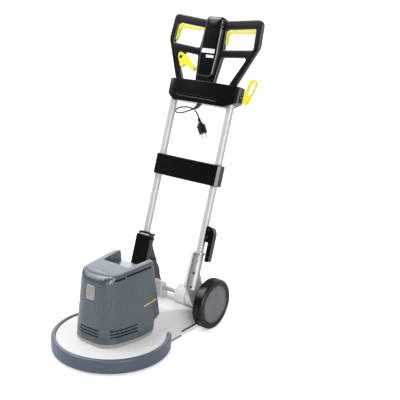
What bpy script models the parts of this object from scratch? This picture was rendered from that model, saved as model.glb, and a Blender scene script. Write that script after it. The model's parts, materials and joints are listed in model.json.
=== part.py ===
"""Single-disc floor burnisher with a tilting handle, built as separate pieces.

Units are metres. The origin is on the floor under the centre of the pad, +Z is up, the disc
faces -Y and the wheels and the handle are on the +Y side. Pieces of the handle are drawn in the
plane of its two tubes: X across, Z along the tubes, -Y towards the front.
"""
import math

import bmesh
import bpy
from mathutils import Matrix, Vector

# Clearances
FIT_GAP = 0.0003
RUN_GAP = 0.0012

# Pad, driver and deck, stacked up from the floor
PAD_INSET = 0.004
PAD_THICKNESS = 0.020
DRIVER_THICKNESS = 0.013
DRIVE_HUB_RADIUS = 0.045
DRIVE_HUB_THICKNESS = 0.010
DECK_HEADROOM = 0.006
DECK_RADIUS = 0.204
DECK_SKIN = 0.008
SKIRT_WALL = 0.006
SKIRT_LIFT = 0.006
DRIVER_RIM_GAP = 0.010
BUMPER_WIDTH = 0.0157
BUMPER_BOTTOM = 0.008
BUMPER_LIP = 0.002
BUMPER_SOFT = 0.005
BUMPER_OPENING = math.radians(56.0)
BUMPER_END_ANGLE = math.radians(7.5)
BUMPER_STEPS = 36

# Motor on the pad axis
SHAFT_RADIUS = 0.009
BEARING_RADIUS = 0.022
BEARING_WIDTH = 0.011
ROTOR_RADIUS = 0.038
STATOR_RADIUS = 0.072
STATOR_HEIGHT = 0.150
STATOR_FIN_DEPTH = 0.005
END_BELL_HEIGHT = 0.016
FAN_RADIUS = 0.056
FAN_HEIGHT = 0.020
FAN_BLADES = 6
CAPACITOR_RADIUS = 0.017
CAPACITOR_LENGTH = 0.080

# Motor cover: half widths and depths of its outline at the foot and at the top
PLINTH_HEIGHT = 0.0137
PLINTH_LEDGE = 0.004
PLINTH_WALL = 0.009
COVER_HEIGHT = 0.2457
COVER_WALL = 0.0045
COVER_FOOT = {"front": (0.066, -0.116), "flank": (0.122, 0.040), "rear": (0.100, 0.164)}
COVER_TOP = {"front": (0.062, -0.100), "flank": (0.083, 0.022), "rear": (0.092, 0.127)}
COVER_CORNER_RADII = {"front": 0.034, "flank": 0.500, "rear": 0.022}
COVER_EDGE_RADIUS = 0.006
COVER_FRONT_EDGE = 0.028
COVER_REAR_RISE = 0.006
COVER_CHANNEL_DROP = 0.036
COVER_CHANNEL_START = -0.055
COVER_FIN_WIDTH = 0.019
COVER_ROOF = 0.028
VENT_COUNT = 3
VENT_HEIGHT = 0.005
VENT_PITCH = 0.0115
VENT_LIFT = 0.026
VENT_FRONT_LENGTH = 0.086
VENT_SIDE_LENGTH = 0.106
GRIP_SLOT_HEIGHT = 0.007
GRIP_SLOT_DROP = 0.016
GRIP_SLOT_DEPTH = 0.012

# Wheels and axle
WHEEL_RADIUS = 0.100
WHEEL_WIDTH = 0.045
TYRE_DEPTH = 0.0237
HUB_CAP_THICKNESS = 0.004
HUB_CAP_RIM = 0.0025
WHEEL_STEPS = 24
AXLE_Y = 0.376
AXLE_RADIUS = 0.010

# Neck between deck and axle
NECK_HALF_WIDTH = 0.148
NECK_DRAFT = 0.42
NECK_CREST = 0.115
NECK_FOOT = 0.009
NECK_START = 0.100
NECK_LEAD = 0.009
NECK_RAMP = 0.0235
NECK_SOFT = 0.010
NECK_CREST_Y = 0.150
NECK_TOE = 0.158
NECK_BEND_Y = 0.246
NECK_SHOULDER_DROP = 0.010
NECK_BEND_DROP = 0.014
NECK_SADDLE_RUN = 0.046
NECK_SADDLE_DROP = 0.024
NECK_AXLE_DROP = 0.038
NECK_TAIL_DROP = 0.044
NECK_TAIL_RISE = 0.012
NECK_TAIL_LENGTH = 0.052
NECK_WALL = 0.007
NECK_HEEL = 0.232
NECK_PLATE_THICKNESS = 0.004

# Handle pivot, brackets, sleeves and tubes
HANDLE_TILT = math.radians(16.76)
HANDLE_OFFSET = 0.090
TUBE_X = 0.1356
TUBE_RADIUS = 0.0145
TUBE_WALL = 0.002
TUBE_BOTTOM = 0.050
SLEEVE_RADIUS = 0.019
SLEEVE_BOTTOM = 0.046
SLEEVE_TOP = 0.194
COLLAR_RADIUS = 0.0225
COLLAR_HEIGHT = 0.009
DRUM_RADIUS = 0.045
DRUM_INNER_X = 0.025
DRUM_LENGTH = 0.045
PIVOT_FLANGE_RADIUS = 0.049
PIVOT_FLANGE_WIDTH = 0.009
PIVOT_HUB_RADIUS = 0.041
BRACKET_THICKNESS = 0.010
WHEEL_SIDE_GAP = 0.0024

# Tilt lock at the lower left
LOCK_BOX_WIDTH = 0.074
LOCK_BOX_DEPTH = 0.026
LOCK_BOX_BOTTOM = 0.075
LOCK_BOX_TOP = 0.204
LOCK_CAP_HEIGHT = 0.012
PLUNGER_WIDTH = 0.022
PLUNGER_DEPTH = 0.014
PLUNGER_BOTTOM = 0.062
PLUNGER_TOP = 0.150
PLUNGER_TRAVEL = 0.006
QUADRANT_THICKNESS = 0.008
QUADRANT_GAP = 0.002
QUADRANT_WIDTH = 0.060

# Mid brace
BRACE_BOTTOM = 0.451
BRACE_HEIGHT = 0.083
BRACE_END = 0.157
BRACE_DEPTH = 0.019
BRACE_BOW = 0.022
BRACE_SKIN = 0.007

# Crosshead box
CROSSHEAD_BOTTOM = 0.752
CROSSHEAD_HEIGHT = 0.086
CROSSHEAD_END = 0.168
CROSSHEAD_CHEEK = 0.140
CROSSHEAD_FRONT = 0.025
CROSSHEAD_BOW = 0.017
CROSSHEAD_REAR = 0.034
CROSSHEAD_END_RISE = 0.026
CROSSHEAD_WALL = 0.008
CROSSHEAD_SIDE = 0.006
CROSSHEAD_SOFT = 0.005
TUBE_SOCKET_ROOF = 0.012

# Handle frame, with its heights above the crosshead
FRAME_FRONT = 0.013
FRAME_DEPTH = 0.026
FRAME_SOFT = 0.0115
HEAD_RISE = 0.2595
HEAD_HALF = 0.207
GRIP_SWEEP = 0.020
GRIP_BAR = 0.034
KINK_HALF = 0.213
KINK_RISE = 0.1545
STRUT_FOOT_HALF = 0.142
STRUT_WIDTH = 0.025
STRUT_FLARE = 0.006
MIDBAR_RISE = 0.127
MIDBAR_SWEEP = 0.018
MIDBAR_BAR = 0.030
COLUMN_HALF = 0.043
COLUMN_DROP = 0.0035
COLUMN_LIFT = 0.015
COLUMN_FACE_HALF = 0.034
COLUMN_FRONT_DEPTH = 0.018
COLUMN_REAR_DEPTH = 0.018
COLUMN_SOFT = 0.012
SWITCH_UNIT = (0.044, 0.018, 0.070)
SWITCH_UNIT_RISE = 0.162

# Controls
LEVER_GRIP_GAP = 0.003
LEVER_BAR = 0.014
LEVER_LEG_WIDTH = 0.009
LEVER_LEG_LENGTH = 0.048
LEVER_THICKNESS = 0.014
LEVER_SIDE_GAP = 0.0004
TILT_LEVER_INSET = 0.0419
TILT_LEVER_RISE = 0.089
TILT_LEVER_REACH = 0.072
TILT_LEVER_DROP = 0.047
TILT_LEVER_THICKNESS = 0.012
TILT_PIN_RADIUS = 0.004
TILT_EAR_THICKNESS = 0.006
BUTTON_RADIUS = 0.006
BUTTON_PROUD = 0.006
BUTTON_LENGTH = 0.014
BUTTON_RISE = 0.217
BUTTON_TRAVEL = 0.003

# Cable hooks
HOOK_STUD_RADIUS = 0.013
HOOK_STUD_LENGTH = 0.008
HOOK_AXIS_Y = 0.010
HOOK_AXIS_LIFT = 0.043
HOOK_THICKNESS = 0.011
HOOK_DROP = 0.018
HOOK_FOOT_RADIUS = 0.013
HOOK_TOP_RADIUS = 0.0175
HOOK_REACH = 0.0225
HOOK_RISE = 0.0845
HOOK_SEAT = 0.046
HOOK_EYE_RADIUS = 0.0095
HOOK_EYE_LENGTH = 0.031
LOW_HOOK_TOP = 0.300
LOW_HOOK_LENGTH = 0.137
LOW_HOOK_SHANK = 0.062
LOW_HOOK_REACH = 0.0385
LOW_HOOK_LIMB = 0.019
LOW_HOOK_THICKNESS = 0.022

# Mains lead: strain relief, cord and plug
GLAND_X = 0.004
GLAND_Y = -0.018
GLAND_LENGTH = 0.027
GLAND_RADII = (0.009, 0.0048)
GLAND_BEND = (math.radians(15.0), math.radians(57.0))
GLAND_HEADING = (-0.33, -0.94, 0.0)
CORD_RADIUS = 0.0030
CORD_POINT_SPACING = 0.013
CORD_EXIT_GAP = 0.0009
CORD_ROUTE = (
    (0.0000, 0.0000, 0.0000),
    (-0.0036, -0.0139, -0.0041),
    (-0.0076, -0.0306, -0.0077),
    (-0.0169, -0.0440, -0.0125),
    (-0.0318, -0.0510, -0.0164),
    (-0.0482, -0.0498, -0.0173),
    (-0.0628, -0.0401, -0.0149),
    (-0.0702, -0.0244, -0.0102),
    (-0.0678, -0.0069, -0.0057),
    (-0.0561, 0.0074, -0.0036),
    (-0.0393, 0.0138, -0.0036),
    (-0.0215, 0.0131, -0.0059),
    (-0.0052, 0.0100, -0.0127),
    (0.0083, 0.0068, -0.0232),
    (0.0170, 0.0048, -0.0382),
)
PLUG_LENGTH = 0.064
PLUG_RADIUS = 0.018
PLUG_NECK_RADIUS = 0.0065
PIN_RADIUS = 0.0024
PIN_LENGTH = 0.019
PIN_SPACING = 0.019

# Heights and places that follow from the sizes above
PAD_RADIUS = DECK_RADIUS - PAD_INSET
DRIVER_BOTTOM = PAD_THICKNESS + FIT_GAP
DRIVE_HUB_BOTTOM = DRIVER_BOTTOM + DRIVER_THICKNESS + FIT_GAP
DECK_UNDERSIDE = DRIVE_HUB_BOTTOM + DRIVE_HUB_THICKNESS + DECK_HEADROOM
DECK_TOP = DECK_UNDERSIDE + DECK_SKIN
SKIRT_BOTTOM = PAD_THICKNESS + SKIRT_LIFT
DRIVER_RADIUS = DECK_RADIUS - SKIRT_WALL - DRIVER_RIM_GAP
BUMPER_SWEEP = 2 * (math.pi - BUMPER_OPENING)
STATOR_BOTTOM = DECK_TOP + FIT_GAP
STATOR_TOP = STATOR_BOTTOM + STATOR_HEIGHT
END_BELL_TOP = STATOR_TOP + FIT_GAP + END_BELL_HEIGHT
FAN_BOTTOM = END_BELL_TOP + RUN_GAP
FAN_TOP = FAN_BOTTOM + FAN_HEIGHT
PLINTH_BOTTOM = DECK_TOP + FIT_GAP
COVER_BOTTOM = PLINTH_BOTTOM + PLINTH_HEIGHT + FIT_GAP
COVER_CROWN = COVER_BOTTOM + COVER_HEIGHT
AXLE_Z = WHEEL_RADIUS
DRUM_OUTER_X = DRUM_INNER_X + DRUM_LENGTH
BRACKET_OUTER_X = TUBE_X - SLEEVE_RADIUS - FIT_GAP
BRACKET_INNER_X = BRACKET_OUTER_X - BRACKET_THICKNESS
WHEEL_INNER_X = TUBE_X + SLEEVE_RADIUS + WHEEL_SIDE_GAP
WHEEL_X = WHEEL_INNER_X + WHEEL_WIDTH / 2
RIM_RADIUS = WHEEL_RADIUS - TYRE_DEPTH - FIT_GAP
RIM_FACE = WHEEL_WIDTH / 2 - HUB_CAP_THICKNESS - 0.002
AXLE_HALF = WHEEL_X + RIM_FACE - FIT_GAP
BRACE_TOP = BRACE_BOTTOM + BRACE_HEIGHT
CROSSHEAD_TOP = CROSSHEAD_BOTTOM + CROSSHEAD_HEIGHT
TUBE_TOP = CROSSHEAD_TOP - TUBE_SOCKET_ROOF
FRAME_BOTTOM = CROSSHEAD_TOP + FIT_GAP
HEAD_TOP = CROSSHEAD_TOP + HEAD_RISE
KINK_Z = CROSSHEAD_TOP + KINK_RISE
MIDBAR_TOP = CROSSHEAD_TOP + MIDBAR_RISE
COLUMN_TOP = HEAD_TOP - COLUMN_DROP
COLUMN_BOTTOM = CROSSHEAD_TOP + COLUMN_LIFT
SWITCH_UNIT_Z = CROSSHEAD_TOP + SWITCH_UNIT_RISE
BUTTON_Z = CROSSHEAD_TOP + BUTTON_RISE
HOOK_AXIS_Z = CROSSHEAD_BOTTOM + HOOK_AXIS_LIFT
TILT_LEVER_Z = CROSSHEAD_TOP + TILT_LEVER_RISE
STRUT_SPREAD = (KINK_HALF - STRUT_FOOT_HALF) / KINK_RISE
TILT_LEVER_X = TILT_LEVER_INSET - STRUT_FOOT_HALF - STRUT_SPREAD * TILT_LEVER_RISE
FRAME_MID_Y = FRAME_DEPTH / 2 - FRAME_FRONT
TILT_EAR_REAR = FRAME_DEPTH - FRAME_FRONT - 0.001
LEVER_AXIS_Z = HEAD_TOP - GRIP_SWEEP - GRIP_BAR - LEVER_LEG_LENGTH

UP = Vector((0.0, 0.0, 1.0))

FINISHES = {
    "slate_abs": ((0.115, 0.145, 0.170), 0.45, 0.0),
    "white_paint": ((0.840, 0.840, 0.820), 0.35, 0.0),
    "grey_rubber": ((0.125, 0.145, 0.195), 0.60, 0.0),
    "black_plastic": ((0.012, 0.013, 0.015), 0.45, 0.0),
    "yellow_plastic": ((0.900, 0.820, 0.070), 0.40, 0.0),
    "silver_paint": ((0.760, 0.760, 0.750), 0.35, 0.1),
    "tyre_rubber": ((0.016, 0.019, 0.023), 0.75, 0.0),
    "hub_grey": ((0.160, 0.162, 0.165), 0.55, 0.0),
    "plinth_grey": ((0.600, 0.580, 0.540), 0.50, 0.0),
    "steel": ((0.550, 0.550, 0.540), 0.30, 1.0),
    "cast_aluminium": ((0.620, 0.620, 0.620), 0.50, 1.0),
    "pad_fibre": ((0.450, 0.330, 0.200), 0.95, 0.0),
    "driver_plastic": ((0.050, 0.060, 0.080), 0.60, 0.0),
}


# Scene helpers

def clear_scene():
    for obj in list(bpy.data.objects):
        bpy.data.objects.remove(obj, do_unlink=True)


def new_collection(name):
    collection = bpy.data.collections.new(name)
    bpy.context.scene.collection.children.link(collection)
    return collection


def add_empty(name, location, parent=None, tilt=0.0):
    """An empty that carries pieces, placed in its parent's frame."""
    empty = bpy.data.objects.new(name, None)
    PARTS.objects.link(empty)
    empty.parent = parent
    empty.location = location
    empty.rotation_euler = (tilt, 0.0, 0.0)
    return empty


def paint(obj, finish):
    colour, roughness, metallic = FINISHES[finish]
    surface = bpy.data.materials.new(obj.name + "_" + finish)
    surface.use_nodes = True
    shader = surface.node_tree.nodes["Principled BSDF"]
    shader.inputs["Base Color"].default_value = (*colour, 1.0)
    shader.inputs["Roughness"].default_value = roughness
    shader.inputs["Metallic"].default_value = metallic
    obj.data.materials.clear()
    obj.data.materials.append(surface)


def move_under(obj, parent, offset):
    """Hang an object, with its cutters, on a parent; its drawing keeps its place."""
    obj.parent = parent
    obj.location = offset
    for modifier in obj.modifiers:
        if modifier.type == 'BOOLEAN':
            move_under(modifier.object, parent, offset)


def finish_part(obj, finish, parent=None, offset=(0.0, 0.0, 0.0)):
    paint(obj, finish)
    if any(modifier.type == 'BOOLEAN' for modifier in obj.modifiers):
        normals = obj.modifiers.new("Flat faces", 'WEIGHTED_NORMAL')
        normals.keep_sharp = True
    if parent:
        move_under(obj, parent, offset)
    return obj


def on_axis(obj, finish, axis):
    """A moving piece, drawn in the frame of its axis empty's parent."""
    return finish_part(obj, finish, axis, tuple(-value for value in axis.location))


def cut(obj, cutter, operation='DIFFERENCE'):
    """Boolean with a second object, which becomes a hidden cutter."""
    for collection in list(cutter.users_collection):
        collection.objects.unlink(cutter)
    CUTTERS.objects.link(cutter)
    cutter.hide_render = True
    cutter.display_type = 'WIRE'
    modifier = obj.modifiers.new(operation.title(), 'BOOLEAN')
    modifier.operation = operation
    modifier.solver = 'EXACT'
    modifier.object = cutter
    return obj


def round_edges(obj, width, segments=2, angle=40.0):
    bevel = obj.modifiers.new("Round", 'BEVEL')
    bevel.width = width
    bevel.segments = segments
    bevel.limit_method = 'ANGLE'
    bevel.angle_limit = math.radians(angle)
    return obj


# Shape helpers

def mesh_object(name, bm):
    bmesh.ops.recalc_face_normals(bm, faces=bm.faces)
    mesh = bpy.data.meshes.new(name)
    bm.to_mesh(mesh)
    bm.free()
    mesh.set_sharp_from_angle(angle=math.radians(35.0))
    obj = bpy.data.objects.new(name, mesh)
    PARTS.objects.link(obj)
    return obj


def block(name, low, high):
    """A box between two corners."""
    bm = bmesh.new()
    size = [b - a for a, b in zip(low, high)]
    centre = [(a + b) / 2 for a, b in zip(low, high)]
    place = Matrix.Translation(centre) @ Matrix.Diagonal((*size, 1.0))
    bmesh.ops.create_cube(bm, size=1.0, matrix=place)
    return mesh_object(name, bm)


AXIS_TURN = {
    'X': Matrix.Rotation(math.radians(90.0), 4, 'Y'),
    'Y': Matrix.Rotation(math.radians(-90.0), 4, 'X'),
    'Z': Matrix.Identity(4),
}


def rod(name, axis, centre, radius, length, segments=24, end_radius=None):
    """A cylinder, or a cone, along one axis."""
    bm = bmesh.new()
    bmesh.ops.create_cone(
        bm, cap_ends=True, segments=segments, radius1=radius,
        radius2=radius if end_radius is None else end_radius, depth=length,
        matrix=Matrix.Translation(centre) @ AXIS_TURN[axis])
    return mesh_object(name, bm)


def turned(name, profile, steps=40):
    """A (radius, height) profile turned round Z: down the outside, back up the bore."""
    last = len(profile) - 1
    edges = [(i, i + 1) for i in range(last)]
    if profile[0][0] > 0.0:
        edges.append((last, 0))
    mesh = bpy.data.meshes.new(name)
    mesh.from_pydata([(r, 0.0, z) for r, z in profile], edges, [])
    obj = bpy.data.objects.new(name, mesh)
    PARTS.objects.link(obj)
    screw = obj.modifiers.new("Turn", 'SCREW')
    screw.steps = steps
    screw.render_steps = steps
    screw.use_merge_vertices = True
    screw.merge_threshold = 0.00001
    screw.use_smooth_shade = True
    return obj


def ring(name, bore, radius, bottom, top, steps=40):
    return turned(name, [(radius, top), (radius, bottom), (bore, bottom), (bore, top)], steps)


def swept(name, profile, start, angle, steps):
    """A closed (radius, height) profile swept part of a turn round Z from +Y."""
    bm = bmesh.new()
    turn = Matrix.Rotation(start, 4, 'Z')
    corners = [bm.verts.new(turn @ Vector((0.0, r, z))) for r, z in profile]
    face = bm.faces.new(corners)
    bmesh.ops.spin(bm, geom=[face, *face.edges, *face.verts], cent=(0.0, 0.0, 0.0),
                   axis=(0.0, 0.0, 1.0), angle=angle, steps=steps, use_duplicate=False)
    return mesh_object(name, bm)


PLANES = {
    'XY': Matrix.Identity(4),
    'XZ': Matrix(((1, 0, 0, 0), (0, 0, 1, 0), (0, 1, 0, 0), (0, 0, 0, 1))),
    'YZ': Matrix(((0, 0, 1, 0), (1, 0, 0, 0), (0, 1, 0, 0), (0, 0, 0, 1))),
}


def plate(name, outlines, low, high, plane, soft=0.0):
    """Flat outlines, the first one outside and the rest holes, made thick with rounded edges."""
    curve = bpy.data.curves.new(name, 'CURVE')
    curve.dimensions = '2D'
    curve.fill_mode = 'BOTH'
    curve.extrude = (high - low) / 2 - soft
    curve.bevel_depth = soft
    curve.bevel_resolution = 1
    curve.offset = -soft
    for outline in outlines:
        spline = curve.splines.new('POLY')
        spline.points.add(len(outline) - 1)
        for point, (a, b) in zip(spline.points, outline):
            point.co = (a, b, 0.0, 1.0)
        spline.use_cyclic_u = True
    drawing = bpy.data.objects.new(name + "_outline", curve)
    place = PLANES[plane] @ Matrix.Translation((0.0, 0.0, (low + high) / 2))
    return solid_from_curve(name, drawing, place)


def solid_from_curve(name, drawing, place):
    """Turn a curve object into a welded mesh object."""
    PARTS.objects.link(drawing)
    evaluated = drawing.evaluated_get(bpy.context.evaluated_depsgraph_get())
    mesh = bpy.data.meshes.new_from_object(evaluated)
    bm = bmesh.new()
    bm.from_mesh(mesh)
    bpy.data.objects.remove(drawing, do_unlink=True)
    bpy.data.meshes.remove(mesh)
    bmesh.ops.remove_doubles(bm, verts=bm.verts, dist=0.00001)
    bmesh.ops.transform(bm, matrix=place, verts=bm.verts)
    return mesh_object(name, bm)


def rounded(corners, radius, segments=3):
    """A polygon with its corners rounded; a third number at a corner is its own radius."""
    outline = []
    count = len(corners)
    for i, corner in enumerate(corners):
        here = Vector(corner[:2])
        before = Vector(corners[i - 1][:2]) - here
        after = Vector(corners[(i + 1) % count][:2]) - here
        want = corner[2] if len(corner) > 2 else radius
        if not want:
            outline.append(tuple(here))
            continue
        half = before.angle(after) / 2
        reach = min(want / math.tan(half), 0.48 * before.length, 0.48 * after.length)
        start = here + before.normalized() * reach
        end = here + after.normalized() * reach
        fillet = reach * math.tan(half)
        centre = here + (before.normalized() + after.normalized()).normalized() * (fillet / math.sin(half))
        first = start - centre
        sweep = first.angle_signed(end - centre)
        for step in range(segments + 1):
            turn = Matrix.Rotation(-sweep * step / segments, 2)
            outline.append(tuple(centre + turn @ first))
    return outline


def arc(centre, radius, start, stop, steps):
    """Points of a circle's arc, both ends included."""
    angles = [start + (stop - start) * i / steps for i in range(steps + 1)]
    return [(centre[0] + radius * math.cos(a), centre[1] + radius * math.sin(a)) for a in angles]


def mirrored(half):
    """Close a half outline, listed from the middle line, by its mirror image in X."""
    return list(half) + [(-x, *rest) for x, *rest in reversed(half)]


def flipped(outline):
    return [(-x, *rest) for x, *rest in outline]


def loft(name, rings):
    """Skin a stack of outlines with equal point counts, and close both ends."""
    bm = bmesh.new()
    loops = [[bm.verts.new(point) for point in outline] for outline in rings]
    count = len(loops[0])
    for lower, upper in zip(loops, loops[1:]):
        for i in range(count):
            j = (i + 1) % count
            bm.faces.new((lower[i], lower[j], upper[j], upper[i]))
    bm.faces.new(loops[0])
    bm.faces.new(loops[-1])
    return mesh_object(name, bm)


def smooth_route(points, spacing):
    """Even points on a smooth curve through the route's points."""
    knots = [Vector(point) for point in points]
    ends = [2 * knots[0] - knots[1], *knots, 2 * knots[-1] - knots[-2]]
    dense = []
    for a, b, c, d in zip(ends, ends[1:], ends[2:], ends[3:]):
        for step in range(12):
            t = step / 12
            dense.append(0.5 * (2 * b + (c - a) * t + (2 * a - 5 * b + 4 * c - d) * t ** 2
                                + (3 * b - a - 3 * c + d) * t ** 3))
    dense.append(knots[-1])
    lengths = [0.0]
    for a, b in zip(dense, dense[1:]):
        lengths.append(lengths[-1] + (b - a).length)
    count = max(2, round(lengths[-1] / spacing))
    even = []
    for i in range(count + 1):
        want = lengths[-1] * i / count
        k = max(n for n, value in enumerate(lengths[:-1]) if value <= want + 1e-9)
        share = (want - lengths[k]) / (lengths[k + 1] - lengths[k])
        even.append(dense[k].lerp(dense[k + 1], min(share, 1.0)))
    return even


# Base: deck, bumper, plinth and motor cover

def make_deck():
    shoulder = 0.006
    profile = [
        (DECK_RADIUS - 2 * shoulder, DECK_TOP),
        (DECK_RADIUS - shoulder / 2, DECK_TOP - shoulder / 3),
        (DECK_RADIUS, DECK_TOP - shoulder),
        (DECK_RADIUS, SKIRT_BOTTOM),
        (DECK_RADIUS - SKIRT_WALL, SKIRT_BOTTOM),
        (DECK_RADIUS - SKIRT_WALL, DECK_UNDERSIDE),
        (BEARING_RADIUS + FIT_GAP, DECK_UNDERSIDE),
        (BEARING_RADIUS + FIT_GAP, DECK_TOP),
    ]
    finish_part(turned("deck_housing", profile, 40), "white_paint")


def bumper_profile(shrink=0.0):
    """The bumper's section; its bore is wide enough that no facet meets the deck."""
    inner = (DECK_RADIUS + FIT_GAP) / math.cos(BUMPER_SWEEP / BUMPER_STEPS / 2)
    outer = DECK_RADIUS + FIT_GAP + BUMPER_WIDTH - shrink
    top = DECK_TOP + BUMPER_LIP - shrink
    low = BUMPER_BOTTOM + shrink
    return rounded([(inner, top), (outer, top), (outer, low), (inner, low)], BUMPER_SOFT, 1)


def make_bumper():
    body = swept("bumper_ring", bumper_profile(), BUMPER_OPENING, BUMPER_SWEEP, BUMPER_STEPS)
    finish_part(body, "grey_rubber")
    seam = FIT_GAP / DECK_RADIUS
    for side, name in ((1, "bumper_end_left"), (-1, "bumper_end_right")):
        start = side * (BUMPER_OPENING - seam)
        end = swept(name, bumper_profile(0.0006), start, -side * BUMPER_END_ANGLE, 2)
        finish_part(end, "black_plastic")


def cover_lift(y, share=1.0):
    """How far the cover's crown rises above its front at a depth."""
    front, rear = COVER_TOP["front"][1], COVER_TOP["rear"][1]
    return COVER_REAR_RISE * share * (y - front) / (rear - front)


def cover_outline(height, inset=0.0, front_inset=None):
    """The cover's plan outline at a height, drawn in by an inset and rising to the rear."""
    share = (height - COVER_BOTTOM) / COVER_HEIGHT
    front = inset if front_inset is None else front_inset
    draw_in = {"front": front, "flank": 0.0, "rear": -inset}
    half = []
    for corner in ("front", "flank", "rear"):
        (x0, y0), (x1, y1) = COVER_FOOT[corner], COVER_TOP[corner]
        x = x0 + (x1 - x0) * share - inset
        y = y0 + (y1 - y0) * share + draw_in[corner]
        half.append((x, y, max(COVER_CORNER_RADII[corner] - inset, 0.006)))
    outline = rounded(mirrored(half), 0.02, 4)
    return [(x, y, height + cover_lift(y, max(share, 0.0))) for x, y in outline]


def edge_inset(radius, drop):
    """How far a rounded edge has drawn in at a drop below its crest."""
    rest = max(radius - drop, 0.0)
    return radius - math.sqrt(radius ** 2 - rest ** 2)


def cover_side_plane(height):
    """Middle, direction angle and half width of the flank between front and flank corners."""
    share = (height - COVER_BOTTOM) / COVER_HEIGHT
    points = []
    for corner in ("front", "flank"):
        (x0, y0), (x1, y1) = COVER_FOOT[corner], COVER_TOP[corner]
        points.append(Vector((x0 + (x1 - x0) * share, y0 + (y1 - y0) * share)))
    front, flank = points
    run = flank - front
    return (front + flank) / 2, math.atan2(run.x, run.y)


def boxes(name, placed):
    """One cutter of several boxes, each given as (size, matrix)."""
    bm = bmesh.new()
    for size, place in placed:
        bmesh.ops.create_cube(bm, size=1.0, matrix=place @ Matrix.Diagonal((*size, 1.0)))
    return mesh_object(name, bm)


def channel_cutter(name, grow, lower):
    """Wedge that sinks the cover's top between its two fins, wider and deeper to the rear."""
    start, rear = COVER_CHANNEL_START, COVER_FOOT["rear"][1]
    share = (start - COVER_TOP["front"][1]) / (COVER_TOP["flank"][1] - COVER_TOP["front"][1])
    edge = COVER_TOP["front"][0] + (COVER_TOP["flank"][0] - COVER_TOP["front"][0]) * share
    widths = (edge - COVER_FIN_WIDTH + grow, COVER_TOP["rear"][0] - COVER_FIN_WIDTH + grow)
    slope = COVER_CHANNEL_DROP / (COVER_TOP["rear"][1] - start)
    crest = COVER_CROWN + 0.02
    rings = []
    for y, half in zip((start, rear), widths):
        floor = COVER_CROWN + cover_lift(start) - lower - slope * (y - start)
        rings.append([(-half, y, floor), (half, y, floor), (half, y, crest), (-half, y, crest)])
    return loft(name, rings)


def vent_cutters():
    placed = []
    through = 6 * COVER_WALL
    for i in range(VENT_COUNT):
        height = COVER_BOTTOM + VENT_LIFT + i * VENT_PITCH
        share = (height - COVER_BOTTOM) / COVER_HEIGHT
        front = COVER_FOOT["front"][1] + (COVER_TOP["front"][1] - COVER_FOOT["front"][1]) * share
        size = (VENT_FRONT_LENGTH, through, VENT_HEIGHT)
        placed.append((size, Matrix.Translation((0.0, front, height))))
        middle, angle = cover_side_plane(height)
        for side in (-1, 1):
            place = Matrix.Translation((side * middle.x, middle.y, height))
            place = place @ Matrix.Rotation(-side * angle, 4, 'Z')
            placed.append(((through, VENT_SIDE_LENGTH, VENT_HEIGHT), place))
    return boxes("cover_vent_cutter", placed)


def grip_slot_cutters():
    """Slots under the two fins, in two lengths on each side with a bridge between."""
    front = Vector(COVER_TOP["front"])
    rear = Vector(COVER_TOP["rear"])
    run = rear - front
    angle = math.atan2(run.x, run.y)
    placed = []
    for side in (-1, 1):
        for low, high in ((0.17, 0.355), (0.38, 0.90)):
            middle = front + run * (low + high) / 2
            height = COVER_CROWN + cover_lift(middle.y) - GRIP_SLOT_DROP
            size = (2 * GRIP_SLOT_DEPTH, run.length * (high - low), GRIP_SLOT_HEIGHT)
            place = Matrix.Translation((side * middle.x, middle.y, height))
            placed.append((size, place @ Matrix.Rotation(-side * angle, 4, 'Z')))
    return boxes("cover_grip_slot_cutter", placed)


def make_cover():
    rings = [cover_outline(COVER_BOTTOM)]
    rings.append(cover_outline(COVER_BOTTOM + COVER_HEIGHT * 0.45))
    for share in (1.0, 0.5, 0.2, 0.06, 0.0):
        drop = COVER_FRONT_EDGE * share
        inset = edge_inset(COVER_EDGE_RADIUS, drop)
        rings.append(cover_outline(COVER_CROWN - drop, inset, edge_inset(COVER_FRONT_EDGE, drop)))
    cover = loft("motor_cover", rings)
    wall = COVER_WALL
    roof = COVER_CROWN - COVER_ROOF
    inner = loft("cover_inside_cutter", [
        cover_outline(COVER_BOTTOM - 0.01, wall),
        cover_outline(roof - 0.02, wall),
        cover_outline(roof, wall + 0.012),
    ])
    cut(inner, channel_cutter("cover_inside_channel_cutter", wall, 1.6 * wall))
    cut(cover, channel_cutter("cover_channel_cutter", 0.0, 0.0))
    cut(cover, inner)
    cut(cover, vent_cutters())
    cut(cover, grip_slot_cutters())
    cut(cover, neck_body("cover_neck_cutter", RUN_GAP))
    finish_part(cover, "slate_abs")


def make_plinth():
    foot = PLINTH_BOTTOM
    outer = [point[:2] for point in cover_outline(COVER_BOTTOM, -PLINTH_LEDGE)]
    inner = [point[:2] for point in cover_outline(COVER_BOTTOM, PLINTH_WALL)]
    body = plate("cover_plinth", [outer, inner], foot, foot + PLINTH_HEIGHT, 'XY')
    cut(body, neck_body("plinth_neck_cutter", FIT_GAP))
    finish_part(body, "plinth_grey")


# Motor and drive

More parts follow.
